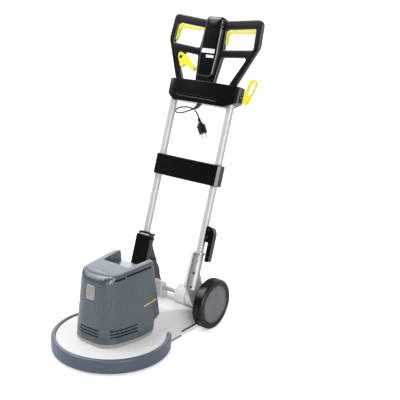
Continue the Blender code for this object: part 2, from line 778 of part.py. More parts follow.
def make_drive(axis):
    bottom = 0.0
    soft_edge = 0.004
    pad = turned("burnishing_pad", [
        (0.0, PAD_THICKNESS),
        (PAD_RADIUS - soft_edge, PAD_THICKNESS),
        (PAD_RADIUS, PAD_THICKNESS - soft_edge),
        (PAD_RADIUS, bottom + soft_edge),
        (PAD_RADIUS - soft_edge, bottom),
        (0.0, bottom),
    ], 36)
    on_axis(pad, "pad_fibre", axis)
    top = DRIVER_BOTTOM + DRIVER_THICKNESS
    rim = 0.012
    driver = turned("pad_driver", [
        (0.0, top),
        (DRIVER_RADIUS - rim, top),
        (DRIVER_RADIUS, top - rim / 3),
        (DRIVER_RADIUS, DRIVER_BOTTOM),
        (0.0, DRIVER_BOTTOM),
    ], 36)
    on_axis(driver, "driver_plastic", axis)
    low = DRIVE_HUB_BOTTOM
    hub = ring("drive_hub", SHAFT_RADIUS + FIT_GAP, DRIVE_HUB_RADIUS, low, low + DRIVE_HUB_THICKNESS, 20)
    on_axis(hub, "cast_aluminium", axis)
    shaft = rod("rotor_shaft", 'Z', (0.0, 0.0, (low + FAN_TOP) / 2), SHAFT_RADIUS, FAN_TOP - low, 24)
    on_axis(shaft, "steel", axis)
    core_low = STATOR_BOTTOM + 0.020
    core = ring("rotor_core", SHAFT_RADIUS + FIT_GAP, ROTOR_RADIUS, core_low, STATOR_TOP - 0.020, 20)
    on_axis(core, "steel", axis)
    on_axis(cooling_fan(), "driver_plastic", axis)


def cooling_fan():
    """Back plate and hub with straight radial blades."""
    bore = SHAFT_RADIUS + FIT_GAP
    hub_radius = 0.018
    web = 0.003
    fan = turned("cooling_fan", [
        (hub_radius, FAN_TOP), (hub_radius, FAN_BOTTOM + web), (FAN_RADIUS, FAN_BOTTOM + web),
        (FAN_RADIUS, FAN_BOTTOM), (bore, FAN_BOTTOM), (bore, FAN_TOP)], 16)
    placed = []
    inside = hub_radius - 0.002
    length = FAN_RADIUS - 0.002 - inside
    height = FAN_HEIGHT - web / 2 - 0.003
    for i in range(FAN_BLADES):
        place = Matrix.Rotation(2 * math.pi * i / FAN_BLADES, 4, 'Z')
        middle = (inside + length / 2, 0.0, FAN_BOTTOM + web / 2 + height / 2)
        placed.append(((length, 0.0025, height), place @ Matrix.Translation(middle)))
    return cut(fan, boxes("fan_blade_cutter", placed), 'UNION')


def make_motor():
    bore = ROTOR_RADIUS + RUN_GAP
    fin_low, fin_high, fins = 0.25, 0.85, 2
    profile = [(STATOR_RADIUS, STATOR_TOP)]
    pitch = STATOR_HEIGHT * (fin_high - fin_low) / fins
    for i in range(fins):
        groove = STATOR_TOP - STATOR_HEIGHT * (1.0 - fin_high) - i * pitch
        deep = STATOR_RADIUS - STATOR_FIN_DEPTH
        low = groove - pitch / 2
        profile += [(STATOR_RADIUS, groove), (deep, groove), (deep, low), (STATOR_RADIUS, low)]
    profile += [(STATOR_RADIUS, STATOR_BOTTOM), (bore, STATOR_BOTTOM), (bore, STATOR_TOP)]
    finish_part(turned("stator_housing", profile, 16), "cast_aluminium")
    bell_low = STATOR_TOP + FIT_GAP
    seat = BEARING_RADIUS + FIT_GAP
    ledge = END_BELL_TOP - BEARING_WIDTH - FIT_GAP
    bell = turned("motor_end_bell", [
        (STATOR_RADIUS - 0.006, END_BELL_TOP),
        (STATOR_RADIUS, END_BELL_TOP - 0.006),
        (STATOR_RADIUS, bell_low),
        (SHAFT_RADIUS + 0.004, bell_low),
        (SHAFT_RADIUS + 0.004, ledge),
        (seat, ledge),
        (seat, END_BELL_TOP),
    ], 16)
    finish_part(bell, "cast_aluminium")
    bore = SHAFT_RADIUS + FIT_GAP
    upper = ring("upper_bearing", bore, BEARING_RADIUS, END_BELL_TOP - BEARING_WIDTH, END_BELL_TOP, 16)
    finish_part(upper, "steel")
    low = DECK_TOP - FIT_GAP - BEARING_WIDTH + DECK_SKIN / 2
    lower = ring("lower_bearing", bore, BEARING_RADIUS, low, low + BEARING_WIDTH - DECK_SKIN / 2, 16)
    finish_part(lower, "steel")
    centre_y = STATOR_RADIUS + FIT_GAP + CAPACITOR_RADIUS
    height = NECK_CREST + 0.012 + CAPACITOR_LENGTH / 2
    can = rod("run_capacitor", 'Z', (0.0, centre_y, height), CAPACITOR_RADIUS, CAPACITOR_LENGTH, 16)
    finish_part(round_edges(can, 0.002, 1), "cast_aluminium")


# Neck and axle

def neck_top(y):
    """Height of the neck's top line above the axle's drums and in front of them."""
    line = [
        (NECK_START + NECK_LEAD, NECK_CREST - NECK_SHOULDER_DROP),
        (NECK_CREST_Y, NECK_CREST),
        (NECK_BEND_Y, NECK_CREST - NECK_BEND_DROP),
        (AXLE_Y - NECK_SADDLE_RUN, AXLE_Z - NECK_SADDLE_DROP),
        (AXLE_Y, AXLE_Z - NECK_AXLE_DROP),
        (AXLE_Y + NECK_TAIL_LENGTH, AXLE_Z - NECK_TAIL_DROP),
    ]
    for (y0, z0), (y1, z1) in zip(line, line[1:]):
        if y <= y1:
            return z0 + (z1 - z0) * (y - y0) / (y1 - y0)
    return line[-1][1]


def neck_body(name, grow=0.0):
    """The drafted neck prism; grow makes the same form larger all round for clearances."""
    base = DECK_TOP + FIT_GAP
    tail = AXLE_Y + NECK_TAIL_LENGTH
    tail_low = NECK_FOOT + NECK_TAIL_RISE
    shoulder = NECK_START + NECK_LEAD
    stations = (NECK_CREST_Y, NECK_BEND_Y, AXLE_Y - NECK_SADDLE_RUN, AXLE_Y, tail)
    climb = neck_top(shoulder) - base
    side = [
        (NECK_START - NECK_RAMP - 4 * grow, base - grow),
        (NECK_START - 0.45 * NECK_RAMP - grow, base + 0.15 * climb + grow),
        (NECK_START - grow, base + 0.5 * climb + grow),
        (shoulder - grow, neck_top(shoulder) + grow),
    ]
    side += [(y + (grow if y == tail else 0.0), neck_top(y) + grow) for y in stations]
    side += [
        (tail + NECK_PLATE_THICKNESS + grow, tail_low - grow),
        (NECK_HEEL, tail_low - grow),
        (NECK_HEEL, NECK_FOOT - grow),
        (NECK_TOE - grow, NECK_FOOT - grow),
        (NECK_TOE - grow, base - grow),
    ]
    half = NECK_HALF_WIDTH + grow
    rings = []
    for sign in (-1, 1):
        rings.append([(sign * (half - NECK_DRAFT * (z - NECK_FOOT)), y, z) for y, z in side])
    return loft(name, rings)


def make_neck():
    neck = neck_body("neck_housing")
    bevel_picked(neck, NECK_SOFT, on_neck_shoulder)
    room = rod("neck_deck_cutter", 'Z', (0.0, 0.0, FIT_GAP), DECK_RADIUS + FIT_GAP, 2 * DECK_TOP, 72)
    cut(neck, room)
    axle = (0.0, AXLE_Y, AXLE_Z)
    saddle = rod("neck_saddle_cutter", 'X', axle, DRUM_RADIUS + FIT_GAP, 2 * (DRUM_OUTER_X + FIT_GAP), 40)
    cut(neck, saddle)
    cut(neck, pivot_clearance())
    hollow_low, hollow_high = 0.222, AXLE_Y - DRUM_RADIUS - 2 * NECK_WALL
    roof = neck_top(hollow_high) - NECK_WALL
    half = NECK_HALF_WIDTH - NECK_DRAFT * (roof - NECK_FOOT) - NECK_WALL
    cut(neck, block("neck_hollow_cutter", (-half, hollow_low, -0.01), (half, hollow_high, roof)))
    finish_part(neck, "white_paint")
    low = NECK_FOOT + NECK_TAIL_RISE - FIT_GAP - NECK_PLATE_THICKNESS
    edge = NECK_HALF_WIDTH - 0.010
    tail = AXLE_Y + NECK_TAIL_LENGTH
    high = low + NECK_PLATE_THICKNESS
    under = block("neck_base_plate", (-edge, NECK_HEEL + 0.010, low), (edge, tail, high))
    finish_part(round_edges(under, 0.0015, 1), "black_plastic")


def on_neck_shoulder(first, last):
    """True for the edges between the neck's top and its two flanks."""
    one_side = first.x * last.x > 0.0
    above_tail = min(first.z, last.z) > NECK_FOOT + NECK_TAIL_RISE + FIT_GAP
    return one_side and above_tail and min(first.y, last.y) > NECK_START - FIT_GAP


def pivot_clearance():
    """Room in the neck for the two turning hubs and bracket plates beside the drums."""
    radius = PIVOT_FLANGE_RADIUS + RUN_GAP
    start = DRUM_OUTER_X - FIT_GAP
    stop = BRACKET_OUTER_X + RUN_GAP
    bm = bmesh.new()
    for side in (-1, 1):
        centre = (side * (start + stop) / 2, AXLE_Y, AXLE_Z)
        bmesh.ops.create_cone(bm, cap_ends=True, segments=40, radius1=radius, radius2=radius,
                              depth=stop - start, matrix=Matrix.Translation(centre) @ AXIS_TURN['X'])
    return mesh_object("neck_pivot_cutter", bm)


def make_axle():
    rod_piece = rod("axle_rod", 'X', (0.0, AXLE_Y, AXLE_Z), AXLE_RADIUS, 2 * AXLE_HALF, 24)
    finish_part(rod_piece, "steel")
    soft = 0.003
    half = DRUM_LENGTH / 2
    for side, word in ((-1, "left"), (1, "right")):
        drum = turned("axle_drum_" + word, [
            (DRUM_RADIUS - soft, half), (DRUM_RADIUS, half - soft), (DRUM_RADIUS, soft - half),
            (DRUM_RADIUS - soft, -half), (AXLE_RADIUS + FIT_GAP, -half), (AXLE_RADIUS + FIT_GAP, half)], 20)
        drum.rotation_euler = (0.0, math.radians(90.0), 0.0)
        drum.location = (side * (DRUM_INNER_X + half), AXLE_Y, AXLE_Z)
        finish_part(drum, "white_paint")


def make_wheel(side, word, axis):
    """Tyre, rim and hub cap, turned round the axle; the cap is on the outer face."""
    half = WHEEL_WIDTH / 2
    seat = RIM_RADIUS + FIT_GAP
    tyre = turned("tyre_" + word, [
        (WHEEL_RADIUS - 0.009, half),
        (WHEEL_RADIUS - 0.002, half - 0.004),
        (WHEEL_RADIUS, half - 0.011),
        (WHEEL_RADIUS, 0.011 - half),
        (WHEEL_RADIUS - 0.002, 0.004 - half),
        (WHEEL_RADIUS - 0.009, -half),
        (seat, -half),
        (seat, half),
    ], WHEEL_STEPS)
    bore = AXLE_RADIUS + FIT_GAP
    lip = RIM_RADIUS - HUB_CAP_RIM
    back = 0.002 - half
    rim = turned("rim_" + word, [
        (RIM_RADIUS, half - 0.002),
        (RIM_RADIUS, back),
        (lip - 0.004, back),
        (lip - 0.010, back + 0.020),
        (0.024, back + 0.020),
        (0.022, back),
        (bore, back),
        (bore, RIM_FACE),
        (lip, RIM_FACE),
        (lip, half - 0.002),
    ], WHEEL_STEPS)
    cap_radius = lip - FIT_GAP
    low = RIM_FACE + FIT_GAP
    high = low + HUB_CAP_THICKNESS
    cap = turned("hub_cap_" + word, [
        (0.0, high),
        (cap_radius - 0.003, high - 0.0008),
        (cap_radius, high - 0.003),
        (cap_radius, low),
        (0.0, low),
    ], WHEEL_STEPS)
    for piece, finish in ((tyre, "tyre_rubber"), (rim, "hub_grey"), (cap, "hub_grey")):
        paint(piece, finish)
        piece.parent = axis
        piece.rotation_euler = (0.0, side * math.radians(90.0), 0.0)


# Lower handle: pivot hubs, brackets, sleeves, tubes, lock and low hook

def make_pivot(side, word, parent):
    """Turned hub beside the drum, and the bracket plate that carries the sleeve."""
    start = DRUM_OUTER_X + FIT_GAP
    stop = BRACKET_INNER_X - FIT_GAP
    bore = AXLE_RADIUS + FIT_GAP
    length = stop - start
    hub = turned("pivot_hub_" + word, [
        (PIVOT_HUB_RADIUS, length),
        (PIVOT_HUB_RADIUS, PIVOT_FLANGE_WIDTH + 0.003),
        (PIVOT_FLANGE_RADIUS, PIVOT_FLANGE_WIDTH),
        (PIVOT_FLANGE_RADIUS, 0.0),
        (bore, 0.0),
        (bore, length),
    ], 20)
    hub.rotation_euler = (0.0, side * math.radians(90.0), 0.0)
    hub.location = (side * start, HANDLE_OFFSET, 0.0)
    paint(hub, "white_paint")
    hub.parent = parent
    hole = [(HANDLE_OFFSET + bore * math.cos(a), bore * math.sin(a))
            for a in (2 * math.pi * i / 24 for i in range(24))]
    low, high = sorted((side * BRACKET_INNER_X, side * BRACKET_OUTER_X))
    bracket = plate("handle_bracket_" + word, [bracket_outline(), hole], low, high, 'YZ')
    finish_part(bracket, "white_paint", parent)


def bracket_outline():
    """Disc round the axle, drawn out by two tangents to an arm along the sleeve."""
    radius = PIVOT_HUB_RADIUS
    nose = Vector((-SLEEVE_RADIUS - HANDLE_OFFSET, SLEEVE_BOTTOM + 0.010))
    shoulder = Vector((SLEEVE_RADIUS - HANDLE_OFFSET, SLEEVE_TOP - 0.030))
    start = math.atan2(nose.y, nose.x) + math.acos(radius / nose.length)
    stop = math.atan2(shoulder.y, shoulder.x) - math.acos(radius / shoulder.length) + 2 * math.pi
    steps = 14
    angles = [start + (stop - start) * i / steps for i in range(steps + 1)]
    arc = [(HANDLE_OFFSET + radius * math.cos(a), radius * math.sin(a)) for a in angles]
    arm = [(SLEEVE_RADIUS, shoulder.y), (SLEEVE_RADIUS, SLEEVE_TOP - COLLAR_HEIGHT),
           (0.008 - SLEEVE_RADIUS, SLEEVE_TOP - COLLAR_HEIGHT), (-SLEEVE_RADIUS, nose.y)]
    return arc + arm


def make_tube(side, word, parent):
    x = side * TUBE_X
    tube = ring("handle_tube_" + word, TUBE_RADIUS - TUBE_WALL, TUBE_RADIUS, TUBE_BOTTOM, TUBE_TOP, 20)
    tube.location.x = x
    bore = TUBE_RADIUS + FIT_GAP
    foot = SLEEVE_TOP - COLLAR_HEIGHT
    soft = 0.002
    sleeve = turned("sleeve_" + word, [
        (COLLAR_RADIUS - soft, SLEEVE_TOP), (COLLAR_RADIUS, SLEEVE_TOP - soft), (COLLAR_RADIUS, foot + soft),
        (COLLAR_RADIUS - soft, foot), (SLEEVE_RADIUS, foot), (SLEEVE_RADIUS, SLEEVE_BOTTOM),
        (bore, SLEEVE_BOTTOM), (bore, SLEEVE_TOP)], 16)
    sleeve.location.x = x
    for piece in (tube, sleeve):
        paint(piece, "silver_paint")
        piece.parent = parent


def lock_box_frame():
    """Left and right edge and front and back face of the lock housing."""
    left = -TUBE_X - SLEEVE_RADIUS + 0.005
    back = -SLEEVE_RADIUS - FIT_GAP
    return left, left + LOCK_BOX_WIDTH, back - LOCK_BOX_DEPTH, back


def make_lock(parent, plunger_axis):
    left, right, front, back = lock_box_frame()
    wall = (LOCK_BOX_DEPTH - PLUNGER_DEPTH) / 2
    middle = right - wall - PLUNGER_WIDTH / 2
    box = block("lock_housing", (left, front, LOCK_BOX_BOTTOM), (right, back, LOCK_BOX_TOP))
    round_edges(box, 0.004, 2)
    gap = FIT_GAP
    pocket_top = PLUNGER_TOP + PLUNGER_TRAVEL + RUN_GAP
    half = PLUNGER_WIDTH / 2
    pocket_low = (middle - half - gap, front + wall - gap, LOCK_BOX_BOTTOM - 0.01)
    pocket_high = (middle + half + gap, back - wall + gap, pocket_top)
    cut(box, block("lock_pocket_cutter", pocket_low, pocket_high))
    seat_low = SLEEVE_TOP - COLLAR_HEIGHT - FIT_GAP
    seat_high = LOCK_BOX_TOP + 0.01
    seat = (-TUBE_X, 0.0, (seat_low + seat_high) / 2)
    cut(box, rod("lock_collar_cutter", 'Z', seat, COLLAR_RADIUS + FIT_GAP, seat_high - seat_low, 24))
    finish_part(box, "black_plastic", parent)
    cap_low = (left + 0.010, front - 0.001, LOCK_BOX_TOP + FIT_GAP)
    cap = block("lock_housing_cap", cap_low, (right + 0.001, back, cap_low[2] + LOCK_CAP_HEIGHT))
    finish_part(round_edges(cap, 0.003, 2), "black_plastic", parent)
    plunger_low = (middle - half, front + wall, PLUNGER_BOTTOM)
    plunger = block("lock_plunger", plunger_low, (middle + half, back - wall, PLUNGER_TOP))
    on_axis(round_edges(plunger, 0.002, 1), "steel", plunger_axis)
    return middle


def make_quadrant(middle):
    """Rim that the plunger bears on, standing on the neck and struck from the axle."""
    wall = (LOCK_BOX_DEPTH - PLUNGER_DEPTH) / 2
    reach = HANDLE_OFFSET + SLEEVE_RADIUS + FIT_GAP + wall
    outer = math.hypot(reach, PLUNGER_BOTTOM) - QUADRANT_GAP
    inner = outer - QUADRANT_WIDTH
    steps = 16
    rear, foot = math.radians(97.0), math.radians(190.0)
    angles = [rear + (foot - rear) * i / steps for i in range(steps + 1)]
    arc = [(AXLE_Y + outer * math.cos(a), AXLE_Z + outer * math.sin(a)) for a in angles]
    back = [(AXLE_Y + inner * math.cos(a), AXLE_Z + inner * math.sin(a)) for a in reversed(angles)]
    low = middle - QUADRANT_THICKNESS / 2
    rim = plate("lock_quadrant", [arc + back], low, low + QUADRANT_THICKNESS, 'YZ')
    cut(rim, neck_body("quadrant_neck_cutter", FIT_GAP))
    finish_part(rim, "steel")


def make_low_hook(parent):
    near = TUBE_X + TUBE_RADIUS + FIT_GAP
    far = near + LOW_HOOK_REACH
    top = LOW_HOOK_TOP
    limb = far - LOW_HOOK_LIMB
    tip = top - LOW_HOOK_LENGTH
    shank = top - LOW_HOOK_SHANK
    outline = rounded([
        (near, top - 0.004),
        (near + 0.012, top),
        (far - 0.012, top - 0.004, 0.012),
        (far, top - 0.024, 0.02),
        (far, tip, 0.0093),
        (limb, tip, 0.0093),
        (limb, shank, 0.004),
        (near, shank),
    ], 0.003, 2)
    half = LOW_HOOK_THICKNESS / 2
    hook = plate("low_cable_hook", [outline], -half, half, 'XZ')
    finish_part(round_edges(hook, 0.003, 1, 50.0), "black_plastic", parent)


# Upper handle: brace, crosshead, frame and column

def tube_bores(name, bottom, top):
    bm = bmesh.new()
    radius = TUBE_RADIUS + FIT_GAP
    for side in (-1, 1):
        place = Matrix.Translation((side * TUBE_X, 0.0, (bottom + top) / 2))
        bmesh.ops.create_cone(bm, cap_ends=True, segments=20, radius1=radius, radius2=radius,
                              depth=top - bottom, matrix=place)
    return mesh_object(name, bm)


def bowed(half, depth, bow, count=7):
    """Points of a front that bows forward between its two ends, from right to left."""
    points = []
    for i in range(count):
        x = half * (1.0 - 2.0 * i / (count - 1))
        points.append((x, -depth - bow * (1.0 - (x / half) ** 2)))
    return points


def make_brace(parent):
    """Bowed panel that wraps round both tubes; its back is open between them."""
    cheek = BRACE_END - 0.009
    inner = TUBE_X - TUBE_RADIUS - 0.007
    corner = -BRACE_DEPTH + 0.010
    front = [(BRACE_END, corner), *bowed(cheek, BRACE_DEPTH, BRACE_BOW), (-BRACE_END, corner)]
    rear = [(-BRACE_END, BRACE_DEPTH), (-inner, BRACE_DEPTH)]
    inside = bowed(inner, BRACE_DEPTH + 0.003, BRACE_BOW * 0.8)
    hollow = [(x, y + BRACE_SKIN) for x, y in reversed(inside)]
    outline = front + rear + hollow + [(inner, BRACE_DEPTH), (BRACE_END, BRACE_DEPTH)]
    brace = plate("mid_brace", [outline], BRACE_BOTTOM, BRACE_TOP, 'XY')
    round_edges(brace, 0.0025, 1, 50.0)
    cut(brace, tube_bores("brace_bore_cutter", BRACE_BOTTOM - 0.01, BRACE_TOP + 0.01))
    finish_part(brace, "black_plastic", parent)


def make_crosshead(parent):
    """Front and rear half of the box that clamps the tube ends."""
    seam = FIT_GAP / 2
    end = CROSSHEAD_END
    wall = CROSSHEAD_WALL
    cavity = TUBE_X - TUBE_RADIUS - wall
    floor, roof = CROSSHEAD_BOTTOM + wall, CROSSHEAD_TOP - wall
    bow = bowed(CROSSHEAD_CHEEK, CROSSHEAD_FRONT, CROSSHEAD_BOW, 9)
    side = CROSSHEAD_SIDE
    front = [(end, -seam), (end, -side), *bow, (-end, -side), (-end, -seam)]
    back = CROSSHEAD_REAR
    rear = rounded([(-end, seam, 0.0), (-end, back), (end, back), (end, seam, 0.0)], 0.014, 3)
    halves = (
        ("crosshead_front", front, (-cavity, -CROSSHEAD_FRONT + wall / 2, floor), (cavity, 0.01, roof)),
        ("crosshead_rear", rear, (-cavity, -0.01, floor), (cavity, back - wall, roof)),
    )
    for name, outline, low, high in halves:
        half = plate(name, [outline], CROSSHEAD_BOTTOM, CROSSHEAD_TOP, 'XY')
        round_edges(half, CROSSHEAD_SOFT, 1, 60.0)
        cut(half, tube_bores(name + "_bore_cutter", CROSSHEAD_BOTTOM - 0.01, TUBE_TOP + FIT_GAP))
        cut(half, block(name + "_cavity_cutter", low, high))
        cut(half, crosshead_end_cutter(name + "_end_cutter"))
        finish_part(half, "black_plastic", parent)


def crosshead_end_cutter(name):
    """Slopes the underside up to both ends."""
    start = CROSSHEAD_CHEEK - 0.022
    low = CROSSHEAD_BOTTOM - 0.02
    wide = CROSSHEAD_END + 0.02
    slope = CROSSHEAD_END_RISE / (CROSSHEAD_END - start)
    bm = bmesh.new()
    for side in (-1, 1):
        rise = CROSSHEAD_BOTTOM + slope * (wide - start)
        corners = [(start - 0.02 / slope, low), (wide, low), (wide, rise)]
        loops = []
        for y in (-0.1, 0.1):
            loops.append([bm.verts.new((side * x, y, z)) for x, z in corners])
        for i in range(3):
            j = (i + 1) % 3
            bm.faces.new((loops[0][i], loops[0][j], loops[1][j], loops[1][i]))
        bm.faces.new(loops[0])
        bm.faces.new(loops[1])
    return mesh_object(name, bm)


def grip_top(x):
    return HEAD_TOP - GRIP_SWEEP * (1.0 - x / HEAD_HALF)


def midbar_top(x):
    return MIDBAR_TOP + MIDBAR_SWEEP * x / KINK_HALF


def strut_outer(z):
    """Half width of the frame's outer edge at a height."""
    if z < KINK_Z:
        return STRUT_FOOT_HALF + STRUT_SPREAD * (z - CROSSHEAD_TOP)
    return KINK_HALF + (HEAD_HALF - KINK_HALF) * (z - KINK_Z) / (HEAD_TOP - KINK_Z)


def upper_window():
    """Right upper window, clockwise from its inner top corner."""
    inner = COLUMN_HALF + 0.008
    outer_top = strut_outer(HEAD_TOP - GRIP_BAR) - 0.026
    outer_low = strut_outer(KINK_Z) - STRUT_WIDTH
    return [(inner, grip_top(inner) - GRIP_BAR), (outer_top, grip_top(outer_top) - GRIP_BAR),
            (outer_low, midbar_top(outer_low)), (inner + 0.006, midbar_top(inner))]


def frame_outline():
    """Outer edge of the frame; its feet run on below the crosshead's top, to be cut off flat."""
    sunk = FRAME_BOTTOM - 2 * FRAME_SOFT
    inner = COLUMN_HALF + 0.014
    column_foot = inner - 0.012
    strut_foot = STRUT_FOOT_HALF - STRUT_WIDTH - STRUT_FLARE
    top_z = midbar_top(strut_outer(KINK_Z)) - MIDBAR_BAR
    corner = strut_outer(top_z) - STRUT_WIDTH
    return rounded(mirrored([
        (column_foot, sunk, 0.0),
        (column_foot, FRAME_BOTTOM, 0.0),
        (inner, midbar_top(inner) - MIDBAR_BAR, 0.008),
        (corner, midbar_top(corner) - MIDBAR_BAR, 0.008),
        (strut_foot, FRAME_BOTTOM, 0.0),
        (strut_foot, sunk, 0.0),
        (STRUT_FOOT_HALF, sunk, 0.0),
        (STRUT_FOOT_HALF, FRAME_BOTTOM, 0.0),
        (KINK_HALF, KINK_Z, 0.050),
        (HEAD_HALF, HEAD_TOP, 0.020),
        (0.010, grip_top(0.010), 0.010),
    ]), 0.010, 3)


def make_frame(parent):
    """Front and rear half of the round-edged handle frame with its two grips."""
    window = rounded(upper_window(), 0.008, 2)
    outlines = [frame_outline(), window, flipped(window)]
    seam = FRAME_MID_Y
    front, rear = -FRAME_FRONT, FRAME_DEPTH - FRAME_FRONT
    wide, deep, tall = SWITCH_UNIT
    gap = FIT_GAP
    low = (-wide / 2 - gap, seam - deep / 2 - gap, SWITCH_UNIT_Z - tall / 2 - gap)
    high = (wide / 2 + gap, seam + deep / 2 + gap, SWITCH_UNIT_Z + tall / 2 + gap)
    halves = (
        ("handle_frame_front", 2 * front, seam - gap / 2),
        ("handle_frame_rear", seam + gap / 2, 2 * rear),
    )
    for name, y0, y1 in halves:
        shell = plate(name, outlines, front, rear, 'XZ', FRAME_SOFT)
        room = block(name + "_half_cutter", (-0.5, y0, FRAME_BOTTOM), (0.5, y1, 2 * HEAD_TOP))
        cut(shell, room, 'INTERSECT')
        cut(shell, block(name + "_switch_cutter", low, high))
        if name.endswith("rear"):
            cut(shell, tilt_lever_ear(), 'UNION')
            pin = (TILT_LEVER_X, rear, TILT_LEVER_Z)
            cut(shell, rod("tilt_pin_hole_cutter", 'Y', pin, TILT_PIN_RADIUS + gap, FRAME_DEPTH, 20))
        finish_part(shell, "black_plastic", parent)
    unit = block("switch_unit", [v + gap for v in low], [v - gap for v in high])
    finish_part(round_edges(unit, 0.002, 1), "driver_plastic", parent)


def bevel_picked(obj, width, picked):
    """Round the edges whose two ends are picked, apart from those inside a flat face."""
    bm = bmesh.new()
    bm.from_mesh(obj.data)
    weight = bm.edges.layers.float.new("bevel_weight_edge")
    for edge in bm.edges:
        first, last = edge.verts
        sharp = len(edge.link_faces) == 2 and edge.calc_face_angle() > math.radians(25.0)
        edge[weight] = 1.0 if sharp and picked(first.co, last.co) else 0.0
    bm.to_mesh(obj.data)
    bm.free()
    bevel = obj.modifiers.new("Round", 'BEVEL')
    bevel.width = width
    bevel.segments = 2
    bevel.limit_method = 'WEIGHT'
    bevel.use_clamp_overlap = False
    return obj


def tilt_lever_ear():
    """Ear on the rear half that carries the tilt lever's pin from behind."""
    top = midbar_top(-TILT_LEVER_X)
    side = -strut_outer(TILT_LEVER_Z)
    outline = rounded([
        (side + 0.012, top - 0.010, 0.001),
        (TILT_LEVER_X + 0.010, top - 0.010, 0.001),
        (TILT_LEVER_X + 0.009, TILT_LEVER_Z - 0.010, 0.008),
        (side + 0.012, TILT_LEVER_Z - 0.010, 0.001),
    ], 0.003, 4)
    return plate("tilt_ear_cutter", [outline], TILT_EAR_REAR - TILT_EAR_THICKNESS, TILT_EAR_REAR, 'XZ')


def tapered_cover(name, foot, depth, direction):
    """Column cover: a shield outline drawn in towards its outer face."""
    outline = rounded(mirrored([
        (COLUMN_HALF - 0.008, COLUMN_BOTTOM, 0.018),
        (COLUMN_HALF, COLUMN_BOTTOM + 0.10, 0.10),
        (COLUMN_HALF - 0.003, COLUMN_TOP, 0.020),
    ]), 0.012, 3)
    low, high = sorted((foot, foot + direction * depth))
    cover = plate(name, [outline], low, high, 'XZ')
    face = foot + direction * depth
    middle = (COLUMN_TOP + COLUMN_BOTTOM) / 2
    length = COLUMN_TOP - COLUMN_BOTTOM
    draw_in = COLUMN_FACE_HALF / COLUMN_HALF
    for vertex in cover.data.vertices:
        if abs(vertex.co.y - face) < 0.00001:
            vertex.co.x *= draw_in
            vertex.co.z = middle + (vertex.co.z - middle) * (1.0 - depth * 0.6 / length)
            vertex.co.y -= direction * depth * 0.35 * (COLUMN_TOP - vertex.co.z) / length
    return bevel_picked(cover, COLUMN_SOFT, lambda a, b: min(abs(a.y - foot), abs(b.y - foot)) > 0.00001)


def make_column(parent, button_axis):
    front = tapered_cover("column_front_cover", -FRAME_FRONT - FIT_GAP, COLUMN_FRONT_DEPTH, -1)
    y = -FRAME_FRONT - COLUMN_FRONT_DEPTH * 0.45
    inner = COLUMN_FACE_HALF - BUTTON_LENGTH + BUTTON_PROUD
    outer = inner + BUTTON_LENGTH
    gap = FIT_GAP
    start = inner - BUTTON_TRAVEL - RUN_GAP
    centre = ((start + outer + 0.02) / 2, y, BUTTON_Z)
    cut(front, rod("button_hole_cutter", 'X', centre, BUTTON_RADIUS + gap, outer + 0.02 - start, 24))
    finish_part(front, "black_plastic", parent)
    back = FRAME_DEPTH - FRAME_FRONT + FIT_GAP
    rear = tapered_cover("column_rear_cover", back, COLUMN_REAR_DEPTH, 1)
    finish_part(rear, "black_plastic", parent)
    centre = ((inner + outer) / 2, y, BUTTON_Z)
    button = rod("safety_button", 'X', centre, BUTTON_RADIUS, BUTTON_LENGTH, 16)
    on_axis(round_edges(button, 0.0015, 1), "hub_grey", button_axis)


# Controls, hook and lead

def make_switch_lever(side, word, axis):
    """Bow under the grip with two legs down the window's walls."""
    (xi, zi), (xo, zo), (xl, zl), (xk, zk) = upper_window()
    gap = LEVER_SIDE_GAP
    inner_slope = (xk - xi) / (zi - zk)
    outer_slope = (xo - xl) / (zo - zl)

    def wall_in(z):
        return xi + inner_slope * (zi - z) + gap

    def wall_out(z):
        return xo - outer_slope * (zo - z) - gap

    def under_grip(x):
        return grip_top(x) - GRIP_BAR - LEVER_GRIP_GAP

    foot = LEVER_AXIS_Z - 0.004
    soft = 0.009
    top_in, top_out = under_grip(xi), under_grip(xo)
    leg_in = wall_in(foot) + LEVER_LEG_WIDTH * 0.7
    leg_out = wall_out(foot) - LEVER_LEG_WIDTH * 0.7
    crook_in = wall_in(top_in) + LEVER_LEG_WIDTH
    crook_out = wall_out(top_out) - LEVER_LEG_WIDTH
    outline = rounded([
        (wall_in(top_in), top_in, soft),
        (wall_out(top_out), top_out, soft),
        (wall_out(foot), foot, 0.002),
        (leg_out, foot, 0.002),
        (crook_out, under_grip(crook_out) - LEVER_BAR, 0.010),
        (crook_in, under_grip(crook_in) - LEVER_BAR * 0.7, 0.010),
        (leg_in, foot, 0.002),
        (wall_in(foot), foot, 0.002),
    ], 0.004, 2)
    if side < 0:
        outline = flipped(outline)
    half = LEVER_THICKNESS / 2
    lever = plate("switch_lever_" + word, [outline], FRAME_MID_Y - half, FRAME_MID_Y + half, 'XZ')
    on_axis(round_edges(lever, 0.002, 1, 50.0), "yellow_plastic", axis)


